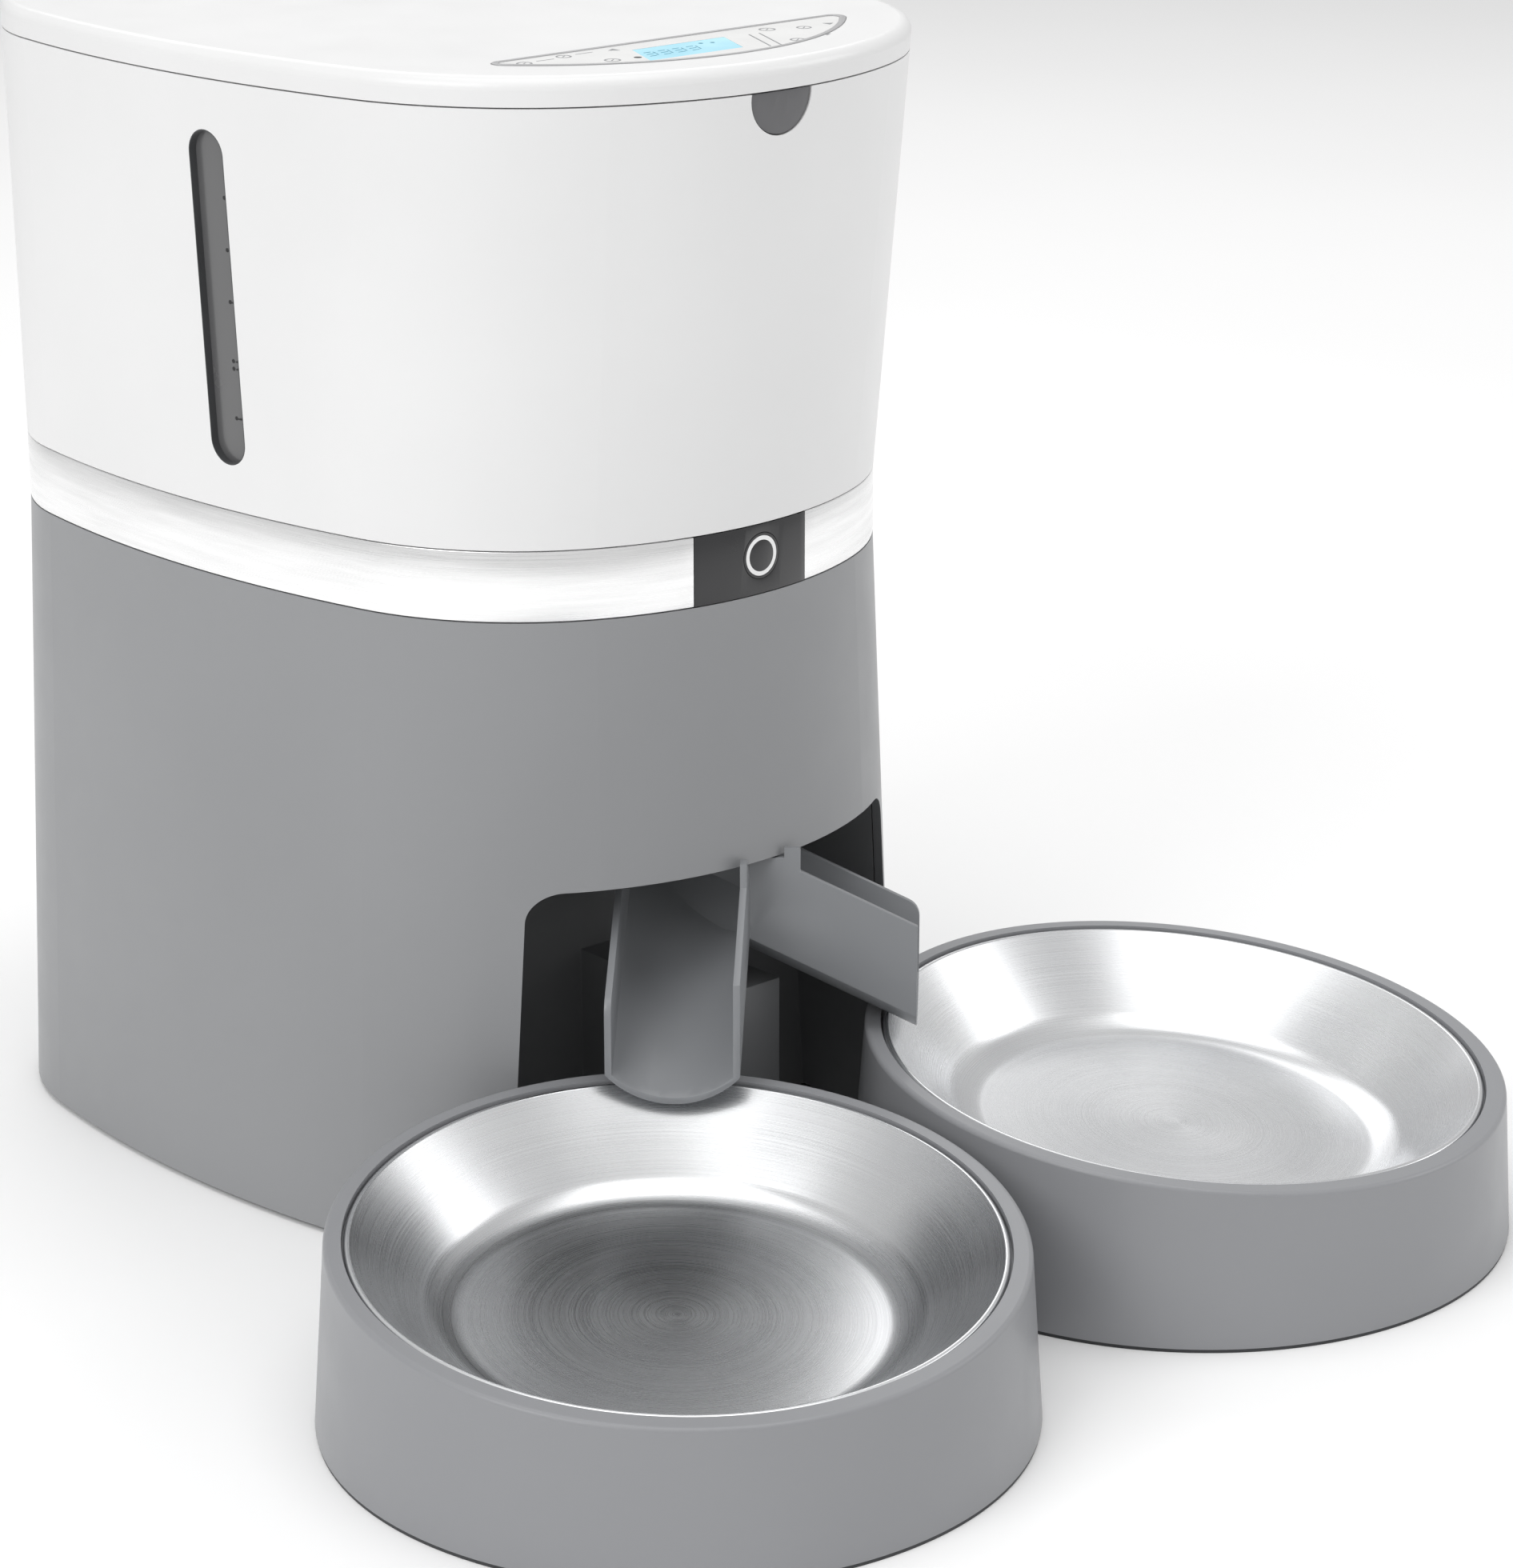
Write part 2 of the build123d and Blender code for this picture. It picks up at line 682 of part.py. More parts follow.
with BuildPart() as latch_button:
    with BuildSketch(front_plane(0, seam_height, front_y + latch_depth)):
        latch_profile()
    extrude(amount=4 * latch_depth)
    body_loft(band_top, seam_height, latch_face_inset, latch_back, mode=Mode.INTERSECT)
    add(latch_plate.part)
    split(bisect_by=Plane.XY.offset(seam_height - seam), keep=Keep.BOTTOM)
save(latch_button, "latch_button")

# ---------------------------------------------------------------- lid
lid_wall = 2.2
lid_edge = 3.0
lip_inset = shell_wall + 0.5
lip_wall = 1.8
lip_depth = 3.4
panel_chord_y = front_y + 33.5
panel_front_y = front_y + 3.0
panel_half = 61.5
panel_tip_slide = 2.6
panel_tip_radius = 3.4
bezel_width = 1.3
panel_depth = 1.6
liner_thickness = 1.6
display_x = -6.5
display_y = front_y + 17.5
display_length = 30.0
display_width = 15.0
display_skew = -7.0
display_ledge = 1.5


def panel_profile(shrink=0.0, mode=Mode.ADD):
    """Sketch the control panel's lens: a straight back, a bowed front and rounded tips."""
    half = panel_half - shrink * panel_tip_slide
    chord = panel_chord_y - shrink
    with BuildLine() as outline:
        Line((-half, chord), (half, chord))
        ThreePointArc((half, chord), (0, panel_front_y + shrink), (-half, chord))
    with BuildSketch() as lens:
        make_face(outline.edges())
        fillet(lens.vertices(), panel_tip_radius - shrink)
    add(lens.sketch, mode=mode)


def display_profile(grow=0.0):
    """Sketch the display's slanted window."""
    half = display_length / 2 + grow
    tall = display_width / 2 + grow
    with BuildLine() as outline:
        Polyline(
            (display_x - half - display_skew / 2, display_y + tall),
            (display_x + half - display_skew / 2, display_y + tall),
            (display_x + half + display_skew / 2, display_y - tall),
            (display_x - half + display_skew / 2, display_y - tall),
            close=True,
        )
    make_face(outline.edges())


with BuildPart() as lid:
    body_loft(seam_height, lid_top)
    fillet(lid.faces().sort_by(Axis.Z)[-1].edges(), lid_edge)
    with BuildSketch(Plane.XY.offset(seam_height - lip_depth)):
        body_outline(hopper_flare - lip_inset, hopper_lean)
    extrude(amount=lip_depth + 1)
    with BuildSketch(Plane.XY.offset(seam_height - lip_depth)):
        body_outline(hopper_flare - lip_inset - lip_wall, hopper_lean)
    extrude(amount=lip_depth + lid_height - lid_wall, mode=Mode.SUBTRACT)
    # Notch in the lip where the latch reaches in
    with BuildSketch(Plane.XY.offset(seam_height - lip_depth)):
        with Locations((0, front_at(seam_height) + lip_inset)):
            Rectangle(2 * (latch_half_width + latch_flange + 1), 4 * lip_wall)
    extrude(amount=lip_depth, mode=Mode.SUBTRACT)
    # Control panel pocket, and the display's opening in its floor
    with BuildSketch(Plane.XY.offset(lid_top - panel_depth)):
        panel_profile()
    extrude(amount=panel_depth, mode=Mode.SUBTRACT)
    with BuildSketch(Plane.XY.offset(lid_top - lid_wall)):
        display_profile(-display_ledge)
    extrude(amount=lid_wall, mode=Mode.SUBTRACT)
    # Outer hinge knuckles
    for side in (-1, 1):
        start = knuckle_half + moving_gap
        with BuildSketch(side_plane(side * (start + knuckle_outer) / 2)):
            with Locations((hinge_y, hinge_z)):
                Circle(knuckle_radius)
            with Locations((hinge_y - knuckle_radius / 2 - 1.0, hinge_z + 1.6)):
                Rectangle(knuckle_radius + 2.0, 3.0)
        extrude(amount=(knuckle_outer - start) / 2, both=True)
    with BuildSketch(side_plane(-knuckle_outer)):
        with Locations((hinge_y, hinge_z)):
            Circle(pin_radius + running_gap)
    extrude(amount=2 * knuckle_outer, mode=Mode.SUBTRACT)
save(lid, "lid")

with BuildPart() as hinge_pin:
    with BuildSketch(side_plane(-knuckle_outer)):
        with Locations((hinge_y, hinge_z)):
            Circle(pin_radius)
    extrude(amount=2 * knuckle_outer)
    chamfer(hinge_pin.edges().filter_by(GeomType.CIRCLE), 0.3)
save(hinge_pin, "hinge_pin")

liner_inset = lip_inset + lip_wall + fit_gap
with BuildPart() as lid_liner:
    with BuildSketch(Plane.XY.offset(seam_height - lip_depth)):
        body_outline(hopper_flare - liner_inset, hopper_lean)
    extrude(amount=liner_thickness)
save(lid_liner, "lid_liner")

with BuildPart() as lid_seal:
    with BuildSketch(Plane.XY.offset(tank_top + moving_gap)):
        body_outline(hopper_flare - tank_inset + 0.5, hopper_lean)
        body_outline(hopper_flare - tank_inset - 3.5, hopper_lean, mode=Mode.SUBTRACT)
    extrude(amount=seam_height - lip_depth - tank_top - moving_gap)
save(lid_seal, "lid_seal")

# ---------------------------------------------------------------- control panel in the lid
with BuildPart() as panel_bezel:
    with BuildSketch(Plane.XY.offset(lid_top - panel_depth)):
        panel_profile(0.1)
        panel_profile(0.1 + bezel_width, mode=Mode.SUBTRACT)
    extrude(amount=panel_depth + 0.25)
save(panel_bezel, "panel_bezel")

with BuildPart() as panel_overlay:
    with BuildSketch(Plane.XY.offset(lid_top - panel_depth)):
        panel_profile(0.1 + bezel_width + 0.02)
    extrude(amount=panel_depth)
    with BuildSketch(Plane.XY.offset(lid_top - panel_depth)):
        display_profile(0.1)
    extrude(amount=panel_depth, mode=Mode.SUBTRACT)
save(panel_overlay, "panel_overlay")

with BuildPart() as display_window:
    with BuildSketch(Plane.XY.offset(lid_top - panel_depth)):
        display_profile()
    extrude(amount=panel_depth - 0.1)
save(display_window, "display_window")

board_z = seam_height - lip_depth + liner_thickness
with BuildPart() as control_board:
    with BuildSketch(Plane.XY.offset(board_z)):
        with Locations((0, display_y + 3)):
            Rectangle(96, 22)
    extrude(amount=board_thickness)
    with BuildSketch(Plane.XY.offset(board_z + board_thickness)):
        with Locations((display_x, display_y)):
            Rectangle(38, 17)
        with Locations((-40, display_y + 5), (24, display_y + 5), (38, display_y + 5)):
            Rectangle(6, 6)
    extrude(amount=lid_top - lid_wall - fit_gap - board_z - board_thickness)
save(control_board, "control_board")

# ---------------------------------------------------------------- feed drum and duct
drum_floor = 2.0
wheel_gap = 0.6
shaft_radius = 4.0
module = 0.8
pinion_teeth = 12
wheel_teeth = 40
output_teeth = 44
case_clear = 2.0
case_wall = 2.0
case_round = module * output_teeth / 2 + case_clear + case_wall
duct_top = drum_floor_top - drum_floor
duct_bottom = opening_height + liner_wall
duct_hole_back = wheel_y - case_round - duct_wall - moving_gap
duct_hole_front = wheel_y - drum_bore / 2 + 3.0
duct_front_rise = 22.0

with BuildPart() as feed_drum:
    with BuildSketch(Plane.XY.offset(drum_floor_top - drum_floor)):
        with Locations((0, wheel_y)):
            Circle(drum_bore / 2 + drum_wall)
    extrude(amount=plate_bottom - drum_floor_top + drum_floor)
    with BuildSketch(Plane.XY.offset(plate_bottom - 2)):
        with Locations((0, wheel_y)):
            Circle(drum_bore / 2 + 9)
    extrude(amount=2)
    with BuildSketch(Plane.XY.offset(drum_floor_top)):
        with Locations((0, wheel_y)):
            Circle(drum_bore / 2)
    extrude(amount=40, mode=Mode.SUBTRACT)
    with BuildSketch(Plane.XY.offset(drum_floor_top - drum_floor - 1)):
        with Locations((0, (duct_hole_front + duct_hole_back) / 2)):
            Rectangle(duct_width, duct_hole_back - duct_hole_front)
        with Locations((0, wheel_y)):
            Circle(shaft_radius + running_gap)
    extrude(amount=drum_floor + 2, mode=Mode.SUBTRACT)
save(feed_drum, "feed_drum")

with BuildPart() as discharge_duct:
    with BuildSketch(side_plane(-duct_width / 2 - duct_wall)):
        with BuildLine():
            Polyline(
                (duct_hole_front - duct_wall, duct_top),
                (duct_hole_back + duct_wall, duct_top),
                (mouth_back + duct_wall, duct_bottom),
                (mouth_front - duct_wall, duct_bottom),
                (mouth_front - duct_wall, duct_bottom + duct_front_rise + duct_wall),
                close=True,
            )
        make_face()
    extrude(amount=duct_width + 2 * duct_wall)
    with BuildSketch(side_plane(-duct_width / 2)):
        with BuildLine():
            Polyline(
                (duct_hole_front, duct_top),
                (duct_hole_back, duct_top),
                (mouth_back, duct_bottom),
                (mouth_front, duct_bottom),
                (mouth_front, duct_bottom + duct_front_rise),
                close=True,
            )
        make_face()
    extrude(amount=duct_width, mode=Mode.SUBTRACT)
save(discharge_duct, "discharge_duct")

hub_radius = 11.0
vane_thickness = 2.4
wheel_bottom = drum_floor_top + wheel_gap
wheel_top = plate_bottom - 0.6
wheel_radius = drum_bore / 2 - wheel_gap

with BuildPart() as feed_wheel:
    with BuildSketch(Plane.XY.offset(wheel_bottom)):
        with Locations((0, wheel_y)):
            Circle(hub_radius)
            with PolarLocations(wheel_radius / 2, wheel_vanes):
                Rectangle(wheel_radius, vane_thickness)
    extrude(amount=wheel_top - wheel_bottom)
    with BuildSketch(Plane.XY.offset(wheel_bottom)):
        with Locations((0, wheel_y)):
            Circle(wheel_radius)
    extrude(amount=wheel_top - wheel_bottom, mode=Mode.INTERSECT)
    fillet(feed_wheel.edges().filter_by(Axis.Z).group_by(SortBy.LENGTH)[-1], 0.5)
    with Locations((0, wheel_y, wheel_bottom)):
        Cylinder(shaft_radius, 12, align=(Align.CENTER, Align.CENTER, Align.MIN), mode=Mode.SUBTRACT)
save(feed_wheel, "feed_wheel")

with BuildPart() as agitator:
    with BuildSketch(Plane.XY.offset(wheel_top)):
        with Locations((0, wheel_y)):
            Circle(9)
    extrude(amount=10)
    with BuildSketch(Plane.XY.offset(wheel_top + 4)):
        with Locations((0, wheel_y)):
            with PolarLocations(14, 3):
                Rectangle(24, 5)
    extrude(amount=4)
    with BuildSketch(Plane.XY.offset(wheel_top + 4)):
        with Locations((0, wheel_y)):
            with PolarLocations(24, 3):
                Circle(3)
    extrude(amount=16)
    fillet(agitator.faces().group_by(Axis.Z)[-1].edges(), 1.2)
save(agitator, "agitator")

# ---------------------------------------------------------------- gear train
gear_face = 5.0
axle_radius = 1.5
tooth_share = 0.36


def gear_profile(teeth, turn=0.0):
    """Sketch a spur gear: straight-flanked teeth on a root circle, with backlash."""
    pitch_radius = module * teeth / 2
    root = pitch_radius - 1.2 * module
    tip = pitch_radius + 0.85 * module
    step = 360 / teeth
    root_half = radians(step * tooth_share * 0.72)
    tip_half = radians(step * tooth_share * 0.27)
    Circle(root + 0.05)
    with PolarLocations(0, teeth, start_angle=turn):
        Polygon(
            ((root - 0.3) * cos(root_half), -(root - 0.3) * sin(root_half)),
            (root * cos(root_half), -root * sin(root_half)),
            (tip * cos(tip_half), -tip * sin(tip_half)),
            (tip * cos(tip_half), tip * sin(tip_half)),
            (root * cos(root_half), root * sin(root_half)),
            ((root - 0.3) * cos(root_half), (root - 0.3) * sin(root_half)),
            align=None,
        )


def meshed_turn(turn, teeth, follower_teeth, bearing):
    """Turn of a follower gear that puts a gap where the driver's tooth meets it."""
    offset = (bearing - turn) * teeth / follower_teeth
    return (bearing + 180 + offset + 180 / follower_teeth) % (360 / follower_teeth)


case_bottom = 106.0
case_top = drum_floor_top - drum_floor
output_place = (0.0, wheel_y)
idler_gap_out = module * (output_teeth + pinion_teeth) / 2
idler_gap = module * (wheel_teeth + pinion_teeth) / 2
bearing_second = 62.0
bearing_first = 118.0
bearing_motor = 62.0


def placed_from(place, distance, bearing):
    """A point at a distance and bearing from another."""
    return (
        place[0] + distance * cos(radians(bearing)),
        place[1] + distance * sin(radians(bearing)),
    )


second_place = placed_from(output_place, idler_gap_out, bearing_second)
first_place = placed_from(second_place, idler_gap, bearing_first)
motor_place = placed_from(first_place, idler_gap, bearing_motor)

output_turn = 0.0
second_pinion_turn = meshed_turn(output_turn, output_teeth, pinion_teeth, bearing_second)
second_wheel_turn = 0.0
first_pinion_turn = meshed_turn(second_wheel_turn, wheel_teeth, pinion_teeth, bearing_first)
first_wheel_turn = 0.0
motor_turn = meshed_turn(first_wheel_turn, wheel_teeth, pinion_teeth, bearing_motor)

layer_output = case_bottom + 26.0
layer_second = case_bottom + 18.5
layer_first = case_bottom + 11.0

with BuildPart() as output_gear:
    with BuildSketch(Plane(origin=(*output_place, layer_output))):
        gear_profile(output_teeth, output_turn)
    extrude(amount=gear_face)
    with BuildSketch(Plane(origin=(*output_place, case_bottom + case_wall + 4))):
        Circle(shaft_radius)
    extrude(amount=wheel_bottom + 12 - case_bottom - case_wall - 4)
save(output_gear, "output_gear")


def compound_gear(place, layer, wheel_turn, pinion_turn, name):
    """Build a wheel with a pinion above it, bored to run on its axle."""
    with BuildPart() as gear:
        with BuildSketch(Plane(origin=(*place, layer))):
            gear_profile(wheel_teeth, wheel_turn)
        extrude(amount=gear_face)
        with BuildSketch(Plane(origin=(*place, layer + gear_face))):
            gear_profile(pinion_teeth, pinion_turn)
        extrude(amount=gear_face + 3)
        with BuildSketch(Plane(origin=(*place, layer))):
            Circle(axle_radius + running_gap)
        extrude(amount=3 * gear_face, mode=Mode.SUBTRACT)
    save(gear, name)


compound_gear(second_place, layer_second, second_wheel_turn, second_pinion_turn, "second_gear")
compound_gear(first_place, layer_first, first_wheel_turn, first_pinion_turn, "first_gear")

with BuildPart() as gear_axles:
    for place, layer in ((second_place, layer_second), (first_place, layer_first)):
        with BuildSketch(Plane(origin=(*place, case_bottom + 0.5))):
            Circle(axle_radius)
        extrude(amount=case_top - 1 - case_bottom)
save(gear_axles, "gear_axles")

motor_radius = 12.0
motor_length = 30.0
motor_shaft_radius = 1.0
motor_screw_radius = 1.0
motor_screw_places = [(motor_place[0] + x, motor_place[1]) for x in (-8.6, 8.6)]

with BuildPart() as motor_pinion:
    with BuildSketch(Plane(origin=(*motor_place, layer_first - 1))):
        gear_profile(pinion_teeth, motor_turn)
    extrude(amount=gear_face + 2)
    with BuildSketch(Plane(origin=(*motor_place, layer_first - 1))):
        Circle(motor_shaft_radius)
    extrude(amount=gear_face + 2, mode=Mode.SUBTRACT)
save(motor_pinion, "motor_pinion")

with BuildPart() as motor_shaft:
    with BuildSketch(Plane(origin=(*motor_place, case_bottom - 6))):
        Circle(motor_shaft_radius)
    extrude(amount=layer_first + gear_face + 1.5 - case_bottom + 6)
save(motor_shaft, "motor_shaft")

with BuildPart() as motor:
    with BuildSketch(Plane(origin=(*motor_place, case_bottom - motor_length))):
        Circle(motor_radius)
        Rectangle(2 * motor_radius, 18, mode=Mode.INTERSECT)
    extrude(amount=motor_length)
    with BuildSketch(Plane(origin=(*motor_place, case_bottom - 8))):
        Circle(motor_shaft_radius + running_gap)
    extrude(amount=8, mode=Mode.SUBTRACT)
    with BuildSketch(Plane.XY.offset(case_bottom - 4)):
        with Locations(*motor_screw_places):
            Circle(motor_screw_radius)
    extrude(amount=4, mode=Mode.SUBTRACT)
    fillet(motor.faces().sort_by(Axis.Z)[0].edges(), 1.0)
save(motor, "motor")

case_min_x = min(-module * output_teeth / 2, first_place[0] - module * wheel_teeth / 2) - case_clear
case_max_x = max(module * output_teeth / 2, second_place[0] + module * wheel_teeth / 2) + case_clear
case_min_y = wheel_y - 14.5
case_max_y = max(first_place[1] + module * wheel_teeth / 2, motor_place[1] + 12) + case_clear


def case_outline(grow=0.0, mode=Mode.ADD):
    """Sketch the gear case's rounded plan."""
    width = case_max_x - case_min_x + 2 * grow
    depth = case_max_y - case_min_y + 2 * grow
    with Locations(((case_min_x + case_max_x) / 2, (case_min_y + case_max_y) / 2)):
        RectangleRounded(width, depth, 4 + grow, mode=mode)
    with Locations(output_place):
        Circle(module * output_teeth / 2 + case_clear + grow, mode=mode)


with BuildPart() as gear_case:
    with BuildSketch(Plane.XY.offset(case_bottom)):
        case_outline(case_wall)
    extrude(amount=case_top - case_wall - case_bottom)
    with BuildSketch(Plane.XY.offset(case_bottom + case_wall)):
        case_outline()
    extrude(amount=case_top, mode=Mode.SUBTRACT)
    with BuildSketch(Plane(origin=(*output_place, case_bottom))):
        Circle(shaft_radius + 3)
    extrude(amount=10)
    with BuildSketch(Plane(origin=(*output_place, case_bottom + case_wall))):
        Circle(shaft_radius + running_gap)
    extrude(amount=12, mode=Mode.SUBTRACT)
    for place in (second_place, first_place):
        with BuildSketch(Plane(origin=(*place, case_bottom + 0.5))):
            Circle(axle_radius)
        extrude(amount=case_wall, mode=Mode.SUBTRACT)
    with BuildSketch(Plane(origin=(*motor_place, case_bottom))):
        Circle(4)
    with BuildSketch(Plane.XY.offset(case_bottom)):
        with Locations(*motor_screw_places):
            Circle(motor_screw_radius + fit_gap)
    extrude(amount=case_wall, mode=Mode.SUBTRACT)
save(gear_case, "gear_case")

with BuildPart() as gear_case_cover:
    with BuildSketch(Plane.XY.offset(case_top - case_wall)):
        case_outline(case_wall)
        with Locations(output_place):
            Circle(shaft_radius + running_gap, mode=Mode.SUBTRACT)
        with Locations(second_place, first_place):
            Circle(axle_radius, mode=Mode.SUBTRACT)
    extrude(amount=case_wall)
save(gear_case_cover, "gear_case_cover")

# ---------------------------------------------------------------- electronics in the base
with BuildPart() as main_board:
    with BuildSketch(front_plane(0, board_z_middle, board_back)):
        Rectangle(board_width, board_height)
        with Locations(*[(x, z - board_z_middle) for x, z in board_screw_places]):
            Circle(board_pilot + fit_gap, mode=Mode.SUBTRACT)
    extrude(amount=board_thickness)
    with BuildSketch(front_plane(0, board_z_middle, board_back - board_thickness)):
        with Locations((-14, 14)):
            Rectangle(14, 14)
        with Locations((10, -14)):
            Rectangle(18, 10)
        with Locations((14, 20), (20, 4)):
            Circle(4)
    extrude(amount=4)
save(main_board, "main_board")

with BuildPart() as power_inlet:
    inlet_back = rear_at(jack_z) - 0.4
    with BuildSketch(front_plane(jack_x, jack_z, inlet_back)):
        Rectangle(jack_width, jack_height)
    extrude(amount=14)
    with BuildSketch(front_plane(jack_x, jack_z, inlet_back)):
        Circle(3.2)
    extrude(amount=10, mode=Mode.SUBTRACT)
    with BuildSketch(front_plane(jack_x, jack_z, inlet_back - 1)):
        Circle(1.0)
    extrude(amount=9)
save(power_inlet, "power_inlet")

# ---------------------------------------------------------------- splitter
chute_width = 34.6
chute_wall = 1.8
chute_run = 44.0
chute_slope = 25.8
chute_end_floor = 50.2
chute_corner_rise = 7.6
inner_wall_top = 83.1
outer_wall_top = 76.8
apex_from_front = 2.0
splitter_top = opening_height - 0.5
tab_start = 9.0
tab_end = 13.2
tab_height = 104.4
apex_y = front_y + apex_from_front
chute_drop = tan(radians(chute_slope))
half_root = sqrt(0.5)


def chute_direction(side):
    """Unit vector along a chute, outwards."""
    return Vector(side * half_root, -half_root, 0)


def chute_across(side):
    """Unit vector across a chute, from its inner wall to its outer wall."""
    return Vector(side * half_root, half_root, 0)


def chute_profile(inset=0.0, height=140.0):
    """Sketch the trough's section at its end: upright walls on a bowed floor."""
    left = inset
    right = chute_width - inset
    corner = chute_end_floor + chute_corner_rise
    with BuildLine() as outline:
        ThreePointArc((left, corner), (chute_width / 2, chute_end_floor + inset), (right, corner))
        Polyline((right, corner), (right, height), (left, height), (left, corner))
    make_face(outline.edges())


def extrude_chute(side, inset, back, beyond, mode):
    """Run the trough's section from beyond its end back along its slope."""
    direction = chute_direction(side)
    start = Vector(0, apex_y, -beyond * chute_drop) + direction * (chute_run + beyond)
    run_back = direction * -1 + Vector(0, 0, chute_drop)
    across = chute_across(side)
    with BuildSketch(Plane(start, x_dir=across, z_dir=across.cross(Vector(0, 0, 1)))) as section:
        chute_profile(inset)
    length = (chute_run + beyond + back) * run_back.length
    extrude(section.sketch, amount=length, dir=run_back, mode=mode)


def cut_above(side, near, far, points):
    """Cut away what stands above a line of (run, height) points, between two widths."""
    across = chute_across(side)
    plane = Plane(
        origin=Vector(0, apex_y, 0) + across * near,
        x_dir=chute_direction(side),
        z_dir=chute_direction(side).cross(Vector(0, 0, 1)),
    )
    with BuildSketch(plane) as above:
        Polygon(*points, (points[-1][0], 260), (points[0][0], 260), align=None)
    extrude(above.sketch, amount=far - near, dir=across, mode=Mode.SUBTRACT)


with BuildPart() as splitter:
    for side in (-1, 1):
        extrude_chute(side, 0, chute_width, 0, Mode.ADD)
    for side in (-1, 1):
        extrude_chute(side, chute_wall, chute_width - chute_wall, 5, Mode.SUBTRACT)
    inner_at_tab = inner_wall_top + (chute_run - tab_end) * chute_drop
    outer_knee = chute_run - (splitter_top - outer_wall_top) / chute_drop
    past_end = chute_run + 4
    for side in (-1, 1):
        cut_above(
            side,
            -1,
            chute_width / 2,
            [
                (-chute_width - 2, splitter_top),
                (tab_start, splitter_top),
                (tab_start, tab_height),
                (tab_end, tab_height),
                (tab_end, inner_at_tab),
                (past_end, inner_wall_top - 4 * chute_drop),
            ],
        )
        cut_above(
            side,
            chute_width / 2,
            chute_width + 1,
            [
                (-chute_width - 2, splitter_top),
                (outer_knee, splitter_top),
                (past_end, outer_wall_top - 4 * chute_drop),
            ],
        )
    for side in (-1, 1):
        corner = Vector(0, apex_y, outer_wall_top)
        corner += chute_direction(side) * chute_run + chute_across(side) * (chute_width - chute_wall / 2)
        fillet(splitter.edges().sort_by_distance(corner)[0], 5)
    # Tongue that goes through the back of the recess
    tongue_root = apex_y + chute_width * sqrt(2) - 3
    with BuildSketch(front_plane(0, tongue_z, recess_back + liner_wall + 2)):
        Rectangle(tongue_width, tongue_height)
    extrude(amount=recess_back + liner_wall + 2 - tongue_root)
    for side in (-1, 1):
        extrude_chute(side, chute_wall, chute_width - chute_wall, 5, Mode.SUBTRACT)
save(splitter, "splitter")

# ---------------------------------------------------------------- bowls and stands
stand_wall = 2.2
rim_ring_width = 4.4
seat_width = 2.2
seat_thickness = 4.0
bowl_depth = 22.0
bowl_floor_radius = 58.0
bowl_floor_round = 14.0
bowl_sheet = 0.8
bowl_rim_width = 2.2
bowl_rim_thickness = 2.0
bowl_rim_round = 0.8
bowl_rim_drop = 0.5
bowl_gap = 0.6
seat_depth = bowl_rim_drop + bowl_rim_thickness + running_gap
stand_foot_height = 1.0
stand_edge_round = 1.2
taper_overrun = 15.0


def rim_plane(side, drop=0.0):
    """The plane of a stand's rim, or one a little below it."""
    outward = Vector(side * sin(radians(tilt_turn)), -cos(radians(tilt_turn)), 0)
    normal = outward * sin(radians(rim_tilt)) + Vector(0, 0, cos(radians(rim_tilt)))
    centre = Vector(side * bowl_spacing / 2, bowl_y, rim_height)
    return Plane(origin=centre - normal * drop, x_dir=outward.cross(Vector(0, 0, 1)), z_dir=normal)


def rim_section_plane(side):
    """A plane through a rim's axis, for profiles that turn about it."""
    rim = rim_plane(side)
    return Plane(origin=rim.origin, x_dir=rim.x_dir, z_dir=rim.x_dir.cross(rim.z_dir))


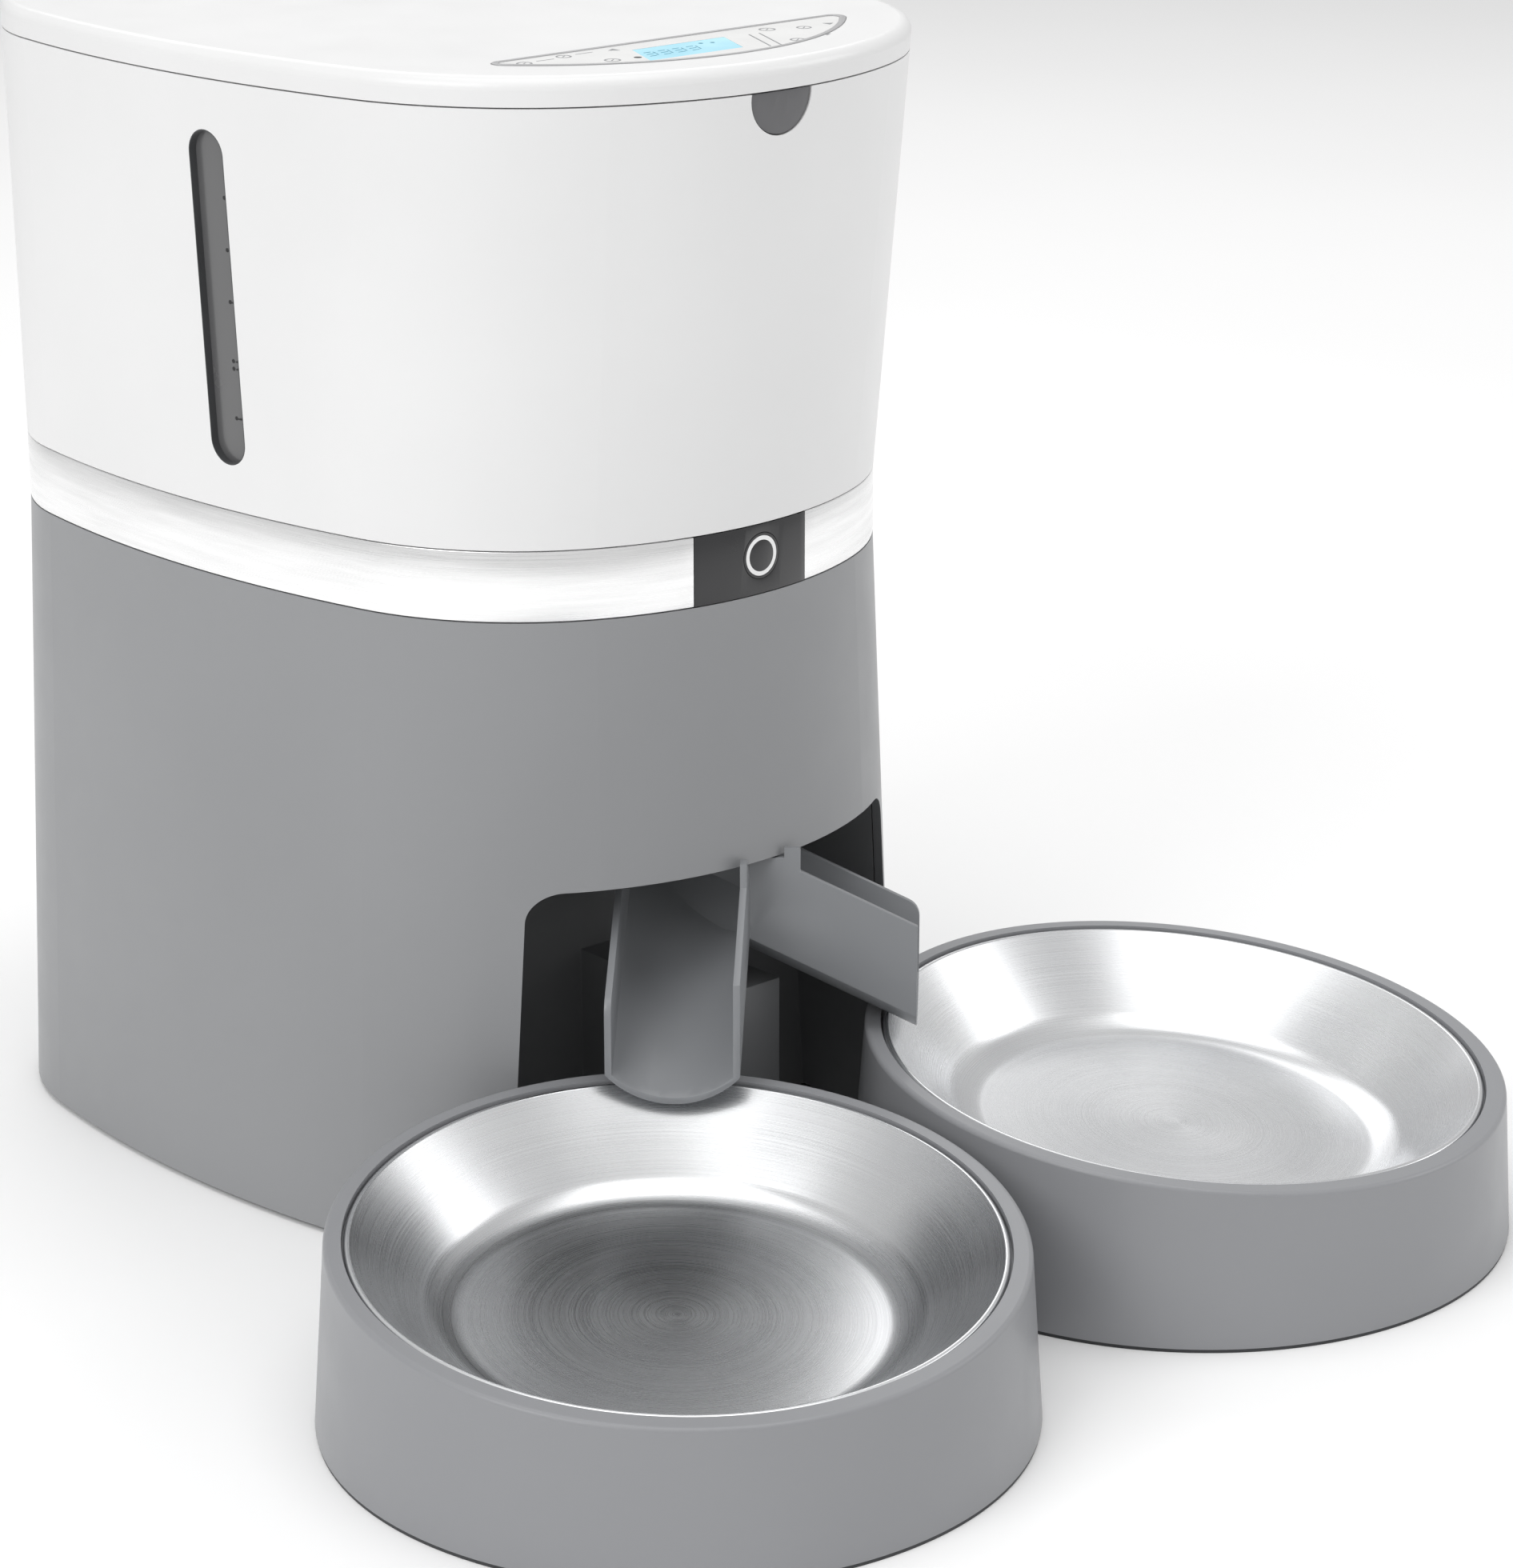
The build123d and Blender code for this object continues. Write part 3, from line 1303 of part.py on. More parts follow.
for side, name in ((-1, "left"), (1, "right")):
    centre = (side * bowl_spacing / 2, bowl_y)
    rim = rim_plane(side)
    rim_axis = Axis(rim.origin, rim.z_dir)
    lean_in = degrees(atan2(stand_base_radius - rim_radius, rim_height))

    seat_radius = rim_radius - rim_ring_width
    under_seat = rim_plane(side, seat_depth + seat_thickness)

    with BuildPart() as stand_hollow:
        with BuildSketch(Plane(origin=(*centre, 0))):
            Circle(stand_base_radius - stand_wall)
        extrude(amount=rim_height + taper_overrun, taper=lean_in)
        split(bisect_by=under_seat, keep=Keep.BOTTOM)

    with BuildPart() as bowl_stand:
        with BuildSketch(Plane(origin=(*centre, 0))):
            Circle(stand_base_radius)
        extrude(amount=rim_height + taper_overrun, taper=lean_in)
        split(bisect_by=rim, keep=Keep.BOTTOM)
        fillet(bowl_stand.edges().group_by(Axis.Z)[-1], stand_edge_round)
        add(stand_hollow.part, mode=Mode.SUBTRACT)
        with BuildSketch(rim):
            Circle(seat_radius)
        extrude(amount=-seat_depth, mode=Mode.SUBTRACT)
        with BuildSketch(rim):
            Circle(seat_radius - seat_width)
        extrude(amount=-seat_depth - seat_thickness - 1, mode=Mode.SUBTRACT)
        split(bisect_by=Plane.XY.offset(stand_foot_height), keep=Keep.TOP)
    save(bowl_stand, f"{name}_bowl_stand")

    with BuildPart() as stand_foot:
        with BuildSketch(Plane(origin=(*centre, 0))):
            Circle(stand_base_radius - 0.3)
            Circle(stand_base_radius - stand_wall + 0.3, mode=Mode.SUBTRACT)
        extrude(amount=stand_foot_height)
    save(stand_foot, f"{name}_stand_foot")

    bowl_rim_radius = seat_radius - bowl_gap
    rim_top = -bowl_rim_drop
    rim_bottom = rim_top - bowl_rim_thickness
    wall_top = bowl_rim_radius - bowl_rim_width
    with BuildPart() as bowl:
        with BuildSketch(rim_section_plane(side)):
            with BuildLine():
                Polyline(
                    (0, rim_top),
                    (bowl_rim_radius, rim_top),
                    (bowl_rim_radius, rim_bottom),
                    (wall_top, rim_bottom),
                    (bowl_floor_radius, -bowl_depth - bowl_sheet),
                    (0, -bowl_depth - bowl_sheet),
                    close=True,
                )
            outer = make_face()
            foot_corner = (bowl_floor_radius, -bowl_depth - bowl_sheet)
            fillet(outer.vertices().sort_by_distance(foot_corner)[0], bowl_floor_round + bowl_sheet)
            rim_corner = (bowl_rim_radius, rim_top)
            fillet(vertices().sort_by_distance(rim_corner)[0], bowl_rim_round)
        revolve(axis=rim_axis)
        with BuildSketch(rim_section_plane(side)):
            inside_top = wall_top + bowl_rim_round
            inside_floor = bowl_floor_radius - bowl_sheet
            with BuildLine():
                Polyline(
                    (0, rim_top),
                    (inside_top, rim_top),
                    (inside_top, rim_top - bowl_sheet),
                    (inside_floor, -bowl_depth),
                    (0, -bowl_depth),
                    close=True,
                )
            inner = make_face()
            fillet(inner.vertices().sort_by_distance((inside_floor, -bowl_depth))[0], bowl_floor_round)
        revolve(axis=rim_axis, mode=Mode.SUBTRACT)
    save(bowl, f"{name}_bowl")

# ---------------------------------------------------------------- screws
screw_head = 1.2
recess_length = 3.2
recess_width = 0.8
recess_depth_in_head = 0.7


def screw(face, length=9.0, radius=post_hole, head_radius=2.8):
    """One screw with a cross recess: its head starts on a plane and it is driven along +Z."""
    with BuildSketch(face) as head_section:
        Circle(head_radius)
    extrude(head_section.sketch, amount=screw_head)
    with BuildSketch(face) as shank_section:
        Circle(radius)
    extrude(shank_section.sketch, amount=screw_head + length)
    with BuildSketch(face) as recess_section:
        Rectangle(recess_width, recess_length * head_radius / 2.8)
        Rectangle(recess_length * head_radius / 2.8, recess_width)
    extrude(recess_section.sketch, amount=recess_depth_in_head, mode=Mode.SUBTRACT)


with BuildPart() as bottom_screws:
    for place in post_places:
        screw(Plane(origin=(*place, plate_z)))
save(bottom_screws, "bottom_screws")

with BuildPart() as chassis_screws:
    for place in post_places:
        screw(Plane(origin=(*place, plate_top + screw_head), z_dir=(0, 0, -1)))
save(chassis_screws, "chassis_screws")

with BuildPart() as hopper_screws:
    for place in hopper_boss_places:
        screw(Plane(origin=(*place, plate_bottom - screw_head)))
save(hopper_screws, "hopper_screws")

with BuildPart() as board_screws:
    head_y = board_back - board_thickness - screw_head
    for place_x, place_z in board_screw_places:
        face = Plane(origin=(place_x, head_y, place_z), z_dir=(0, 1, 0))
        screw(face, length=5.0, radius=board_pilot, head_radius=2.0)
save(board_screws, "board_screws")

with BuildPart() as motor_screws:
    for place in motor_screw_places:
        face = Plane(origin=(*place, case_bottom + case_wall + screw_head), z_dir=(0, 0, -1))
        screw(face, length=5.0, radius=motor_screw_radius, head_radius=1.9)
save(motor_screws, "motor_screws")
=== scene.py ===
# %% [markdown]
# # Dressing an automatic pet feeder
# The shape of the feeder comes from its CAD model, which is already split into named
# parts that ride on moving bodies. This lesson adds what the CAD model lacks: finishes,
# rounded edges that catch the light, the turned steel bowls, the printed marks and a
# small photo studio.
# %% Load the CAD frame
import json
from math import cos, pi, radians, sin, sqrt

import bpy
from mathutils import Matrix, Vector


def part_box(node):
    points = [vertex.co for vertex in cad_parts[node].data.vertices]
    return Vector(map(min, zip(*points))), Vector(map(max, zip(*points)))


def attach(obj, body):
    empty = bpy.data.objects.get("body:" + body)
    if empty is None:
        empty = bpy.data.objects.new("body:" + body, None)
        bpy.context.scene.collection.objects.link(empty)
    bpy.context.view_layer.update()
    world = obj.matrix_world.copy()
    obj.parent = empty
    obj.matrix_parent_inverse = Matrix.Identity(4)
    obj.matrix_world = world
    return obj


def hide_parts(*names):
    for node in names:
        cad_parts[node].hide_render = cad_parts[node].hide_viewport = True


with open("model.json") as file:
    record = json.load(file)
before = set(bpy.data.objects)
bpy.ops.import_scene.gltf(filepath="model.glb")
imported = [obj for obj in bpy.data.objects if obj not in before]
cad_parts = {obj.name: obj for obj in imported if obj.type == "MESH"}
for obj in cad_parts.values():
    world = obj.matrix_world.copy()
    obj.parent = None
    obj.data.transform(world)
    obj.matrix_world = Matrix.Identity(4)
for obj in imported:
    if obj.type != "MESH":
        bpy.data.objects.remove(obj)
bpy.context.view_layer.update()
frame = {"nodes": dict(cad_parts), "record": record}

MM = 0.001
nodes = frame["nodes"]

# %% [markdown]
# ## Habits that keep operators safe
# Blender's operators act on everything that is selected, and a freshly loaded model is
# selected all over. So the first habit is to clear the selection. The second is to
# choose faces or edges in code, by where they are, and the third is to finish every
# piece the same way: its place goes into the mesh, its normals point outwards, and it
# is told which body it rides on.
# %% Selection and finishing helpers
def clear_selection():
    """Leave edit mode and deselect every object."""
    if bpy.context.object and bpy.context.object.mode != "OBJECT":
        bpy.ops.object.mode_set(mode="OBJECT")
    bpy.ops.object.select_all(action="DESELECT")


def take(piece):
    """Make one piece the only selected and active object."""
    clear_selection()
    piece.select_set(True)
    bpy.context.view_layer.objects.active = piece


def edit(piece, select="SELECT"):
    """Enter edit mode on a piece with all or none of its mesh selected."""
    take(piece)
    bpy.ops.object.mode_set(mode="EDIT")
    bpy.ops.mesh.select_mode(type="VERT")
    bpy.ops.mesh.select_all(action=select)


def finish_piece(piece, name, body, material, angle=35):
    """Bake a piece's place into its mesh, smooth it, name it and let it ride."""
    take(piece)
    bpy.ops.object.transform_apply(location=True, rotation=True, scale=True)
    bpy.ops.object.shade_smooth_by_angle(angle=radians(angle))
    piece.name = name
    piece.data.name = name
    piece.data.materials.clear()
    piece.data.materials.append(material)
    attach(piece, body)
    print(name, "rides on", body, "with", len(piece.data.polygons), "faces")
    return piece


# %% [markdown]
# ## Camera
# The feeder is seen from its front left, a little from above, through a long lens, so
# its edges stay almost parallel. Only the camera's place, its turn and the focal length
# matter; depth of field stays off.
# %% Camera
camera_data = bpy.data.cameras.new("studio_camera")
camera_data.lens = 99.0
camera_data.sensor_width = 36.0
camera = bpy.data.objects.new("studio_camera", camera_data)
bpy.context.scene.collection.objects.link(camera)
camera.location = (-0.7048, -0.8272, 0.4842)
camera.rotation_euler = (pi / 2 - 0.33, 0, -0.731)
bpy.context.scene.camera = camera
bpy.context.scene.view_settings.view_transform = "Standard"
print("camera looks down", round(0.33 * 180 / pi, 1), "degrees")

# %% [markdown]
# ## Studio
# The pale product look needs a plain floor, an even white surround and a few large soft
# lights. Large lights matter most for the steel bowls: metal shows only what it
# reflects, so broad panels give it long, soft highlights instead of sparkles.
# %% Floor and surround
clear_selection()
bpy.ops.mesh.primitive_plane_add(size=8, location=(0, 0, 0))
floor = bpy.context.object
floor.name = "studio_floor"

world = bpy.data.worlds.new("studio_world")
bpy.context.scene.world = world
world.use_nodes = True
world.node_tree.nodes["Background"].inputs["Color"].default_value = (1, 1, 1, 1)
world.node_tree.nodes["Background"].inputs["Strength"].default_value = 0.6
print("floor at z = 0")


# %% Soft lights
def soft_light(name, place, aim, width, height, power):
    """Hang a rectangular soft light that points at a spot."""
    data = bpy.data.lights.new(name, "AREA")
    data.shape = "RECTANGLE"
    data.size = width
    data.size_y = height
    data.energy = power
    light = bpy.data.objects.new(name, data)
    bpy.context.scene.collection.objects.link(light)
    light.location = place
    light.rotation_euler = (Vector(aim) - Vector(place)).to_track_quat("-Z", "Y").to_euler()
    return light


soft_light("key_light", (-1.7, -0.3, 1.3), (0, 0, 0.15), 1.2, 1.0, 14)
soft_light("right_light", (1.7, -1.1, 1.1), (0, 0, 0.12), 1.2, 0.8, 6)
soft_light("back_light", (0.9, 1.3, 1.4), (0, 0, 0.2), 1.2, 1.0, 5)
soft_light("top_light", (-0.1, -0.2, 2.0), (0, 0, 0), 1.6, 1.6, 13)
print("lights hung:", 4)

# %% [markdown]
# ## Finishes
# Every finish is a small node tree. Three things make moulded plastic look real: the
# colour drifts very slightly from place to place, the gloss is not quite even, and the
# mould leaves a fine grain. All patterns read Object coordinates, so they stay put on
# the part from any side.
# %% Colour helper
def paint(code):
    """Turn a web colour code into Blender's linear colour."""
    parts = [int(code[i:i + 2], 16) / 255 for i in (1, 3, 5)]
    linear = [p / 12.92 if p <= 0.04045 else ((p + 0.055) / 1.055) ** 2.4 for p in parts]
    return (*linear, 1.0)


class Finish:
    """A material with its shader, and short ways to add nodes."""

    def __init__(self, name, roughness=0.5, metallic=0.0):
        self.material = bpy.data.materials.new(name)
        self.material.use_nodes = True
        self.tree = self.material.node_tree
        self.shader = self.tree.nodes["Principled BSDF"]
        self.shader.inputs["Roughness"].default_value = roughness
        self.shader.inputs["Metallic"].default_value = metallic
        self.place = self.add("ShaderNodeTexCoord").outputs["Object"]

    def add(self, kind, **values):
        """Add a node and set its inputs by name."""
        node = self.tree.nodes.new(kind)
        for key, value in values.items():
            node.inputs[key.replace("_", " ")].default_value = value
        return node

    def link(self, source, target):
        """Join an output socket to an input socket."""
        self.tree.links.new(source, target)

    def noise(self, scale, detail=2.0, source=None, roughness=0.5):
        """A noise pattern, scale given in features per metre."""
        node = self.add("ShaderNodeTexNoise", Scale=scale, Detail=detail, Roughness=roughness)
        self.link(source or self.place, node.inputs["Vector"])
        return node.outputs["Fac"]

    def spread(self, source, low, high, start=0.3, end=0.7):
        """Map a pattern onto a range of values."""
        node = self.add("ShaderNodeMapRange")
        for key, value in zip(("From Min", "From Max", "To Min", "To Max"), (start, end, low, high)):
            node.inputs[key].default_value = value
        self.link(source, node.inputs["Value"])
        return node.outputs["Result"]

    def colours(self, source, first, second):
        """Blend two colours by a pattern into the base colour."""
        node = self.add("ShaderNodeMix")
        node.data_type = "RGBA"
        self.link(source, node.inputs["Factor"])
        node.inputs["A"].default_value = first
        node.inputs["B"].default_value = second
        colour = next(s for s in node.outputs if s.type == "RGBA")
        inputs = [s for s in node.inputs if s.type == "RGBA"]
        inputs[0].default_value = first
        inputs[1].default_value = second
        self.link(colour, self.shader.inputs["Base Color"])
        return colour

    def bump(self, source, strength, distance):
        """Raise the surface a little by a pattern."""
        node = self.add("ShaderNodeBump", Strength=strength, Distance=distance)
        self.link(source, node.inputs["Height"])
        self.link(node.outputs["Normal"], self.shader.inputs["Normal"])


def shade(colour, factor):
    """A lighter or darker version of a linear colour."""
    return tuple(min(1.0, c * factor) for c in colour[:3]) + (1.0,)


# %% [markdown]
# ### Moulded plastics
# One function makes them all, because the white hopper, the grey base and the black
# lens differ only in colour, gloss and grain.
# %% Moulded plastic
def moulded_plastic(name, code, roughness, grain=1500, depth=0.00003, drift=0.03, coat=0.0):
    """Plastic with slow colour drift, uneven gloss and a fine moulded grain."""
    finish = Finish(name, roughness)
    colour = paint(code)
    slow = finish.noise(9, 3)
    finish.colours(finish.spread(slow, 0, 1), shade(colour, 1 - drift), shade(colour, 1 + drift))
    patches = finish.noise(70, 4)
    gloss = finish.spread(patches, roughness - 0.035, roughness + 0.035)
    finish.link(gloss, finish.shader.inputs["Roughness"])
    finish.bump(finish.noise(grain, 2), 0.25, depth)
    finish.shader.inputs["Coat Weight"].default_value = coat
    finish.shader.inputs["Coat Roughness"].default_value = 0.12
    return finish.material


white_plastic = moulded_plastic("white_plastic", "#E4E4E4", 0.36, coat=0.15)
grey_plastic = moulded_plastic("grey_plastic", "#8E8F91", 0.42, coat=0.1)
stand_plastic = moulded_plastic("stand_grey", "#8E8F92", 0.4, coat=0.1)
chute_plastic = moulded_plastic("chute_grey", "#85878A", 0.38, coat=0.12)
dark_plastic = moulded_plastic("dark_plastic", "#7C7D7F", 0.5)
lens_white = moulded_plastic("lens_white", "#F1F1F0", 0.22, grain=500, depth=0.00001, coat=0.4)
panel_black = moulded_plastic("panel_black", "#232325", 0.3, coat=0.25)
bezel_grey = moulded_plastic("bezel_grey", "#9E9E9F", 0.34)
latch_grey = moulded_plastic("latch_grey", "#626264", 0.38)
smoke_plastic = moulded_plastic("window_smoke", "#5D5D5E", 0.25, coat=0.4)
milky_plastic = moulded_plastic("tank_plastic", "#DCE0E0", 0.4)
gear_acetal = moulded_plastic("gear_plastic", "#E2DFD4", 0.42)
print_dark = moulded_plastic("print_dark", "#8B8C8E", 0.6)
print_black = moulded_plastic("print_black", "#232324", 0.6)
ring_white = moulded_plastic("ring_white", "#F2F2F2", 0.5)
display_ink = moulded_plastic("display_ink", "#3F7C92", 0.5)
print("plastics made")


# %% [markdown]
# ### Rubber and silicone
# Rubber has almost no shine and a coarser grain than plastic, with a little sheen where
# it turns away from the eye.
# %% Rubber
def rubber(name, code, roughness):
    """Soft matte rubber with a coarse grain."""
    finish = Finish(name, roughness)
    colour = paint(code)
    finish.colours(finish.spread(finish.noise(40, 5), 0, 1), shade(colour, 0.85), shade(colour, 1.2))
    finish.bump(finish.noise(900, 6), 0.5, 0.00008)
    finish.shader.inputs["Sheen Weight"].default_value = 0.15
    return finish.material


rubber_grey = rubber("rubber_grey", "#3B3C3E", 0.8)
seal_silicone = rubber("seal_silicone", "#C9C9C7", 0.6)
print("rubbers made")


# %% [markdown]
# ### Brushed band
# The aluminium trim is brushed along its length, so the scratches run level round the
# body: fine across the height of the band and long along it. Stretching a noise
# pattern, many times finer in Z than in X and Y, gives just that.
# %% Brushed aluminium
def brushed_band(name, code):
    """Aluminium brushed level, with long soft streaks and a few brighter ones."""
    finish = Finish(name, 0.3, 1.0)
    stretch = finish.add("ShaderNodeMapping", Scale=(22, 22, 5200))
    finish.link(finish.place, stretch.inputs["Vector"])
    lines = finish.noise(1, 6, stretch.outputs["Vector"], 0.7)
    broad = finish.add("ShaderNodeMapping", Scale=(30, 30, 420))
    finish.link(finish.place, broad.inputs["Vector"])
    bands = finish.noise(1, 3, broad.outputs["Vector"])
    both = finish.add("ShaderNodeMath")
    both.operation = "MULTIPLY"
    finish.link(lines, both.inputs[0])
    finish.link(bands, both.inputs[1])
    mixed = finish.spread(both.outputs["Value"], 0, 1, 0.12, 0.4)
    colour = paint(code)
    finish.colours(mixed, shade(colour, 0.88), shade(colour, 1.12))
    finish.link(finish.spread(lines, 0.2, 0.42), finish.shader.inputs["Roughness"])
    finish.bump(lines, 0.35, 0.00004)
    finish.shader.inputs["Anisotropic"].default_value = 0.5
    return finish.material


aluminium_band = brushed_band("aluminium_band", "#FCFCFC")
print("band finish made")


# %% [markdown]
# ### Turned steel
# The bowls are pressed and polished on a lathe, so their fine lines are circles about
# each bowl's own axis, and the bowls are tilted. A Mapping node in texture mode undoes
# the tilt; the distance from the axis then drives the rings.
# %% Lathe-polished steel
TILT = radians(5.4)
TURN = radians(22.8)


def bowl_place(side):
    """The centre of a stand's rim and the turn of its tilted plane."""
    low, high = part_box("left_stand_foot" if side < 0 else "right_stand_foot")
    centre = (Vector(low) + Vector(high)) / 2
    centre.z = 46.5 * MM
    outward = Vector((side * sin(TURN), -cos(TURN), 0))
    normal = outward * sin(TILT) + Vector((0, 0, cos(TILT)))
    across = outward.cross(Vector((0, 0, 1)))
    turn = Matrix((across, normal.cross(across), normal)).transposed()
    return centre, turn


def turned_steel(name, side):
    """Satin stainless steel with rings about a bowl's axis."""
    finish = Finish(name, 0.26, 1.0)
    centre, turn = bowl_place(side)
    own = finish.add("ShaderNodeMapping")
    own.vector_type = "TEXTURE"
    own.inputs["Location"].default_value = centre
    own.inputs["Rotation"].default_value = turn.to_euler()
    finish.link(finish.place, own.inputs["Vector"])
    parts = finish.add("ShaderNodeSeparateXYZ")
    finish.link(own.outputs["Vector"], parts.inputs[0])
    flat = finish.add("ShaderNodeCombineXYZ")
    finish.link(parts.outputs["X"], flat.inputs["X"])
    finish.link(parts.outputs["Y"], flat.inputs["Y"])
    reach = finish.add("ShaderNodeVectorMath")
    reach.operation = "LENGTH"
    finish.link(flat.outputs["Vector"], reach.inputs[0])
    rings = finish.add("ShaderNodeCombineXYZ")
    finish.link(reach.outputs["Value"], rings.inputs["X"])
    finish.link(parts.outputs["Z"], rings.inputs["Y"])
    lines = finish.noise(2600, 3, rings.outputs["Vector"], 0.6)
    clouds = finish.noise(26, 4)
    finish.colours(finish.spread(clouds, 0, 1), paint("#DCDDDF"), paint("#E8E9EA"))
    finish.link(finish.spread(lines, 0.24, 0.32), finish.shader.inputs["Roughness"])
    finish.bump(lines, 0.05, 0.00001)
    finish.shader.inputs["Anisotropic"].default_value = 0.3
    return finish.material


left_steel = turned_steel("left_bowl_steel", -1)
right_steel = turned_steel("right_bowl_steel", 1)
print("bowl axis leans", round(TILT * 180 / pi, 1), "degrees")


# %% [markdown]
# ### Small hardware
# Screws, pins, contacts, boards and cells are mostly hidden, but the lid and the
# battery door open, so each gets a finish of its own.
# %% Hardware finishes
def plated_metal(name, code, roughness):
    """Plated steel or brass with faint clouding and fine scratches."""
    finish = Finish(name, roughness, 1.0)
    colour = paint(code)
    finish.colours(finish.spread(finish.noise(120, 4), 0, 1), shade(colour, 0.85), shade(colour, 1.05))
    scratch = finish.add("ShaderNodeMapping", Scale=(3000, 400, 3000))
    finish.link(finish.place, scratch.inputs["Vector"])
    finish.bump(finish.noise(1, 2, scratch.outputs["Vector"]), 0.15, 0.00002)
    return finish.material


def circuit_board(name):
    """Green solder mask with a fine net of tracks."""
    finish = Finish(name, 0.35)
    cells = finish.add("ShaderNodeTexVoronoi", Scale=260)
    cells.feature = "DISTANCE_TO_EDGE"
    finish.link(finish.place, cells.inputs["Vector"])
    tracks = finish.spread(cells.outputs["Distance"], 1, 0, 0.02, 0.06)
    finish.colours(tracks, paint("#0E4A2B"), paint("#1F7A4A"))
    finish.bump(tracks, 0.3, 0.00005)
    finish.shader.inputs["Coat Weight"].default_value = 0.5
    return finish.material


def cell_sleeve(name):
    """A battery's dark sleeve with a fine grain."""
    finish = Finish(name, 0.35, 0.2)
    grain = finish.noise(300, 3)
    finish.colours(finish.spread(grain, 0, 1), paint("#26272A"), paint("#3A3C42"))
    finish.bump(grain, 0.1, 0.00002)
    finish.shader.inputs["Coat Weight"].default_value = 0.6
    return finish.material


zinc_steel = plated_metal("zinc_steel", "#C4C6C9", 0.3)
nickel = plated_metal("contact_nickel", "#CFCBC0", 0.22)
motor_can = plated_metal("motor_steel", "#BFC0C2", 0.32)
board_green = circuit_board("board_green")
cell_wrap = cell_sleeve("cell_wrap")
print("hardware finishes made")


# %% [markdown]
# ### Display
# The display is lit from behind, so its blue has to glow a little by itself. A fine
# grain and a slow change of brightness keep it from looking painted.
# %% Glowing display
def lit_display(name):
    """Pale blue display film with a soft glow of its own."""
    finish = Finish(name, 0.18)
    glow = finish.spread(finish.noise(55, 2), 0, 1)
    colour = finish.colours(glow, paint("#7CC9DF"), paint("#9CDCEC"))
    finish.link(colour, finish.shader.inputs["Emission Color"])
    finish.shader.inputs["Emission Strength"].default_value = 0.35
    finish.shader.inputs["Coat Weight"].default_value = 0.5
    finish.bump(finish.noise(2500, 1), 0.05, 0.00001)
    return finish.material


display_blue = lit_display("display_blue")
print("display finish made")

# %% [markdown]
# ### Paper-white floor
# The floor only has to be pale and dull, with enough grain to hold a soft shadow.
# %% Floor finish
floor_finish = Finish("studio_paper", 0.85)
floor_finish.colours(floor_finish.noise(3, 2), paint("#FBFBFB"), paint("#FFFFFF"))
floor_finish.bump(floor_finish.noise(400, 3), 0.1, 0.0001)
floor.data.materials.append(floor_finish.material)
print("floor covered")

# %% [markdown]
# ## Finishes on the CAD parts
# The CAD parts keep their meshes. Each one names a material slot in the record, so one
# table from slot to finish dresses them all.
# %% Dress the CAD parts
finish_of_slot = {
    "white_plastic": white_plastic,
    "grey_plastic": grey_plastic,
    "dark_plastic": dark_plastic,
    "chute_grey": chute_plastic,
    "aluminium_band": aluminium_band,
    "panel_black": panel_black,
    "lens_white": lens_white,
    "bezel_grey": bezel_grey,
    "latch_grey": latch_grey,
    "window_smoke": smoke_plastic,
    "ring_white": ring_white,
    "tank_plastic": milky_plastic,
    "bowl_steel": left_steel,
    "stand_grey": stand_plastic,
    "rubber_grey": rubber_grey,
    "seal_silicone": seal_silicone,
    "display_blue": display_blue,
    "gear_plastic": gear_acetal,
    "steel": zinc_steel,
    "motor_steel": motor_can,
    "board_green": board_green,
    "contact_nickel": nickel,
    "cell_wrap": cell_wrap,
}
slot_of_node = {s["node"]: s["material_slot"] for s in frame["record"]["subparts"]}
for name, part in nodes.items():
    material = finish_of_slot[slot_of_node[name]]
    for slot in part.material_slots:
        slot.material = material
nodes["right_bowl"].material_slots[0].material = right_steel
print("dressed", len(nodes), "parts")

# %% [markdown]
# ## Painted shade in the slot
# The level window sits a little below the housing, and the slot's walls get a thin dark
# sheet: painted shade for the shadow in the slot. Its shape is already there in the housing:
# the slot's own walls. Those faces are chosen by place and by how they face, split off from a copy and given
# thickness.
# %% Painted shade sheet from the slot's walls
take(nodes["hopper_housing"])
bpy.ops.object.duplicate()
shade_sheet = bpy.context.object
margin = 3 * MM
window_low, window_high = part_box("level_window")
chosen = set()
for face in shade_sheet.data.polygons:
    inside = all(window_low[i] - margin < face.center[i] < window_high[i] + margin for i in range(3))
    if inside and abs(face.normal.x) < 0.35:
        chosen.add(face.index)
edit(shade_sheet, "DESELECT")
bpy.ops.mesh.select_mode(type="FACE")
bpy.ops.object.mode_set(mode="OBJECT")
for face in shade_sheet.data.polygons:
    face.select = face.index not in chosen
bpy.ops.object.mode_set(mode="EDIT")
bpy.ops.mesh.delete(type="FACE")
bpy.ops.mesh.select_all(action="SELECT")
bpy.ops.mesh.remove_doubles(threshold=0.000002)
bpy.ops.mesh.select_all(action="SELECT")
bpy.ops.mesh.solidify(thickness=-0.3 * MM)
bpy.ops.mesh.select_all(action="SELECT")
bpy.ops.mesh.normals_make_consistent(inside=False)
clear_selection()
# The dark rubber grey on the slot's walls is painted shade, not a real part.
finish_piece(shade_sheet, "slot_painted_shade", "base", rubber_grey)
print("gasket made from", len(chosen), "wall faces")

# %% [markdown]
# ## Rounded edges
# Real mouldings have no knife edges: a radius of a few tenths of a millimetre catches a
# thin line of light along every rim. A bevel on the CAD mesh itself is not allowed, so
# each visible moulding is copied, its triangles are joined back into clean faces, and
# the copy is bevelled and shown in place of the CAD part.
# %% Soften the edges of a copy
body_of_node = {n: b for b, members in frame["record"]["behaviour"]["bodies"].items() for n in members}


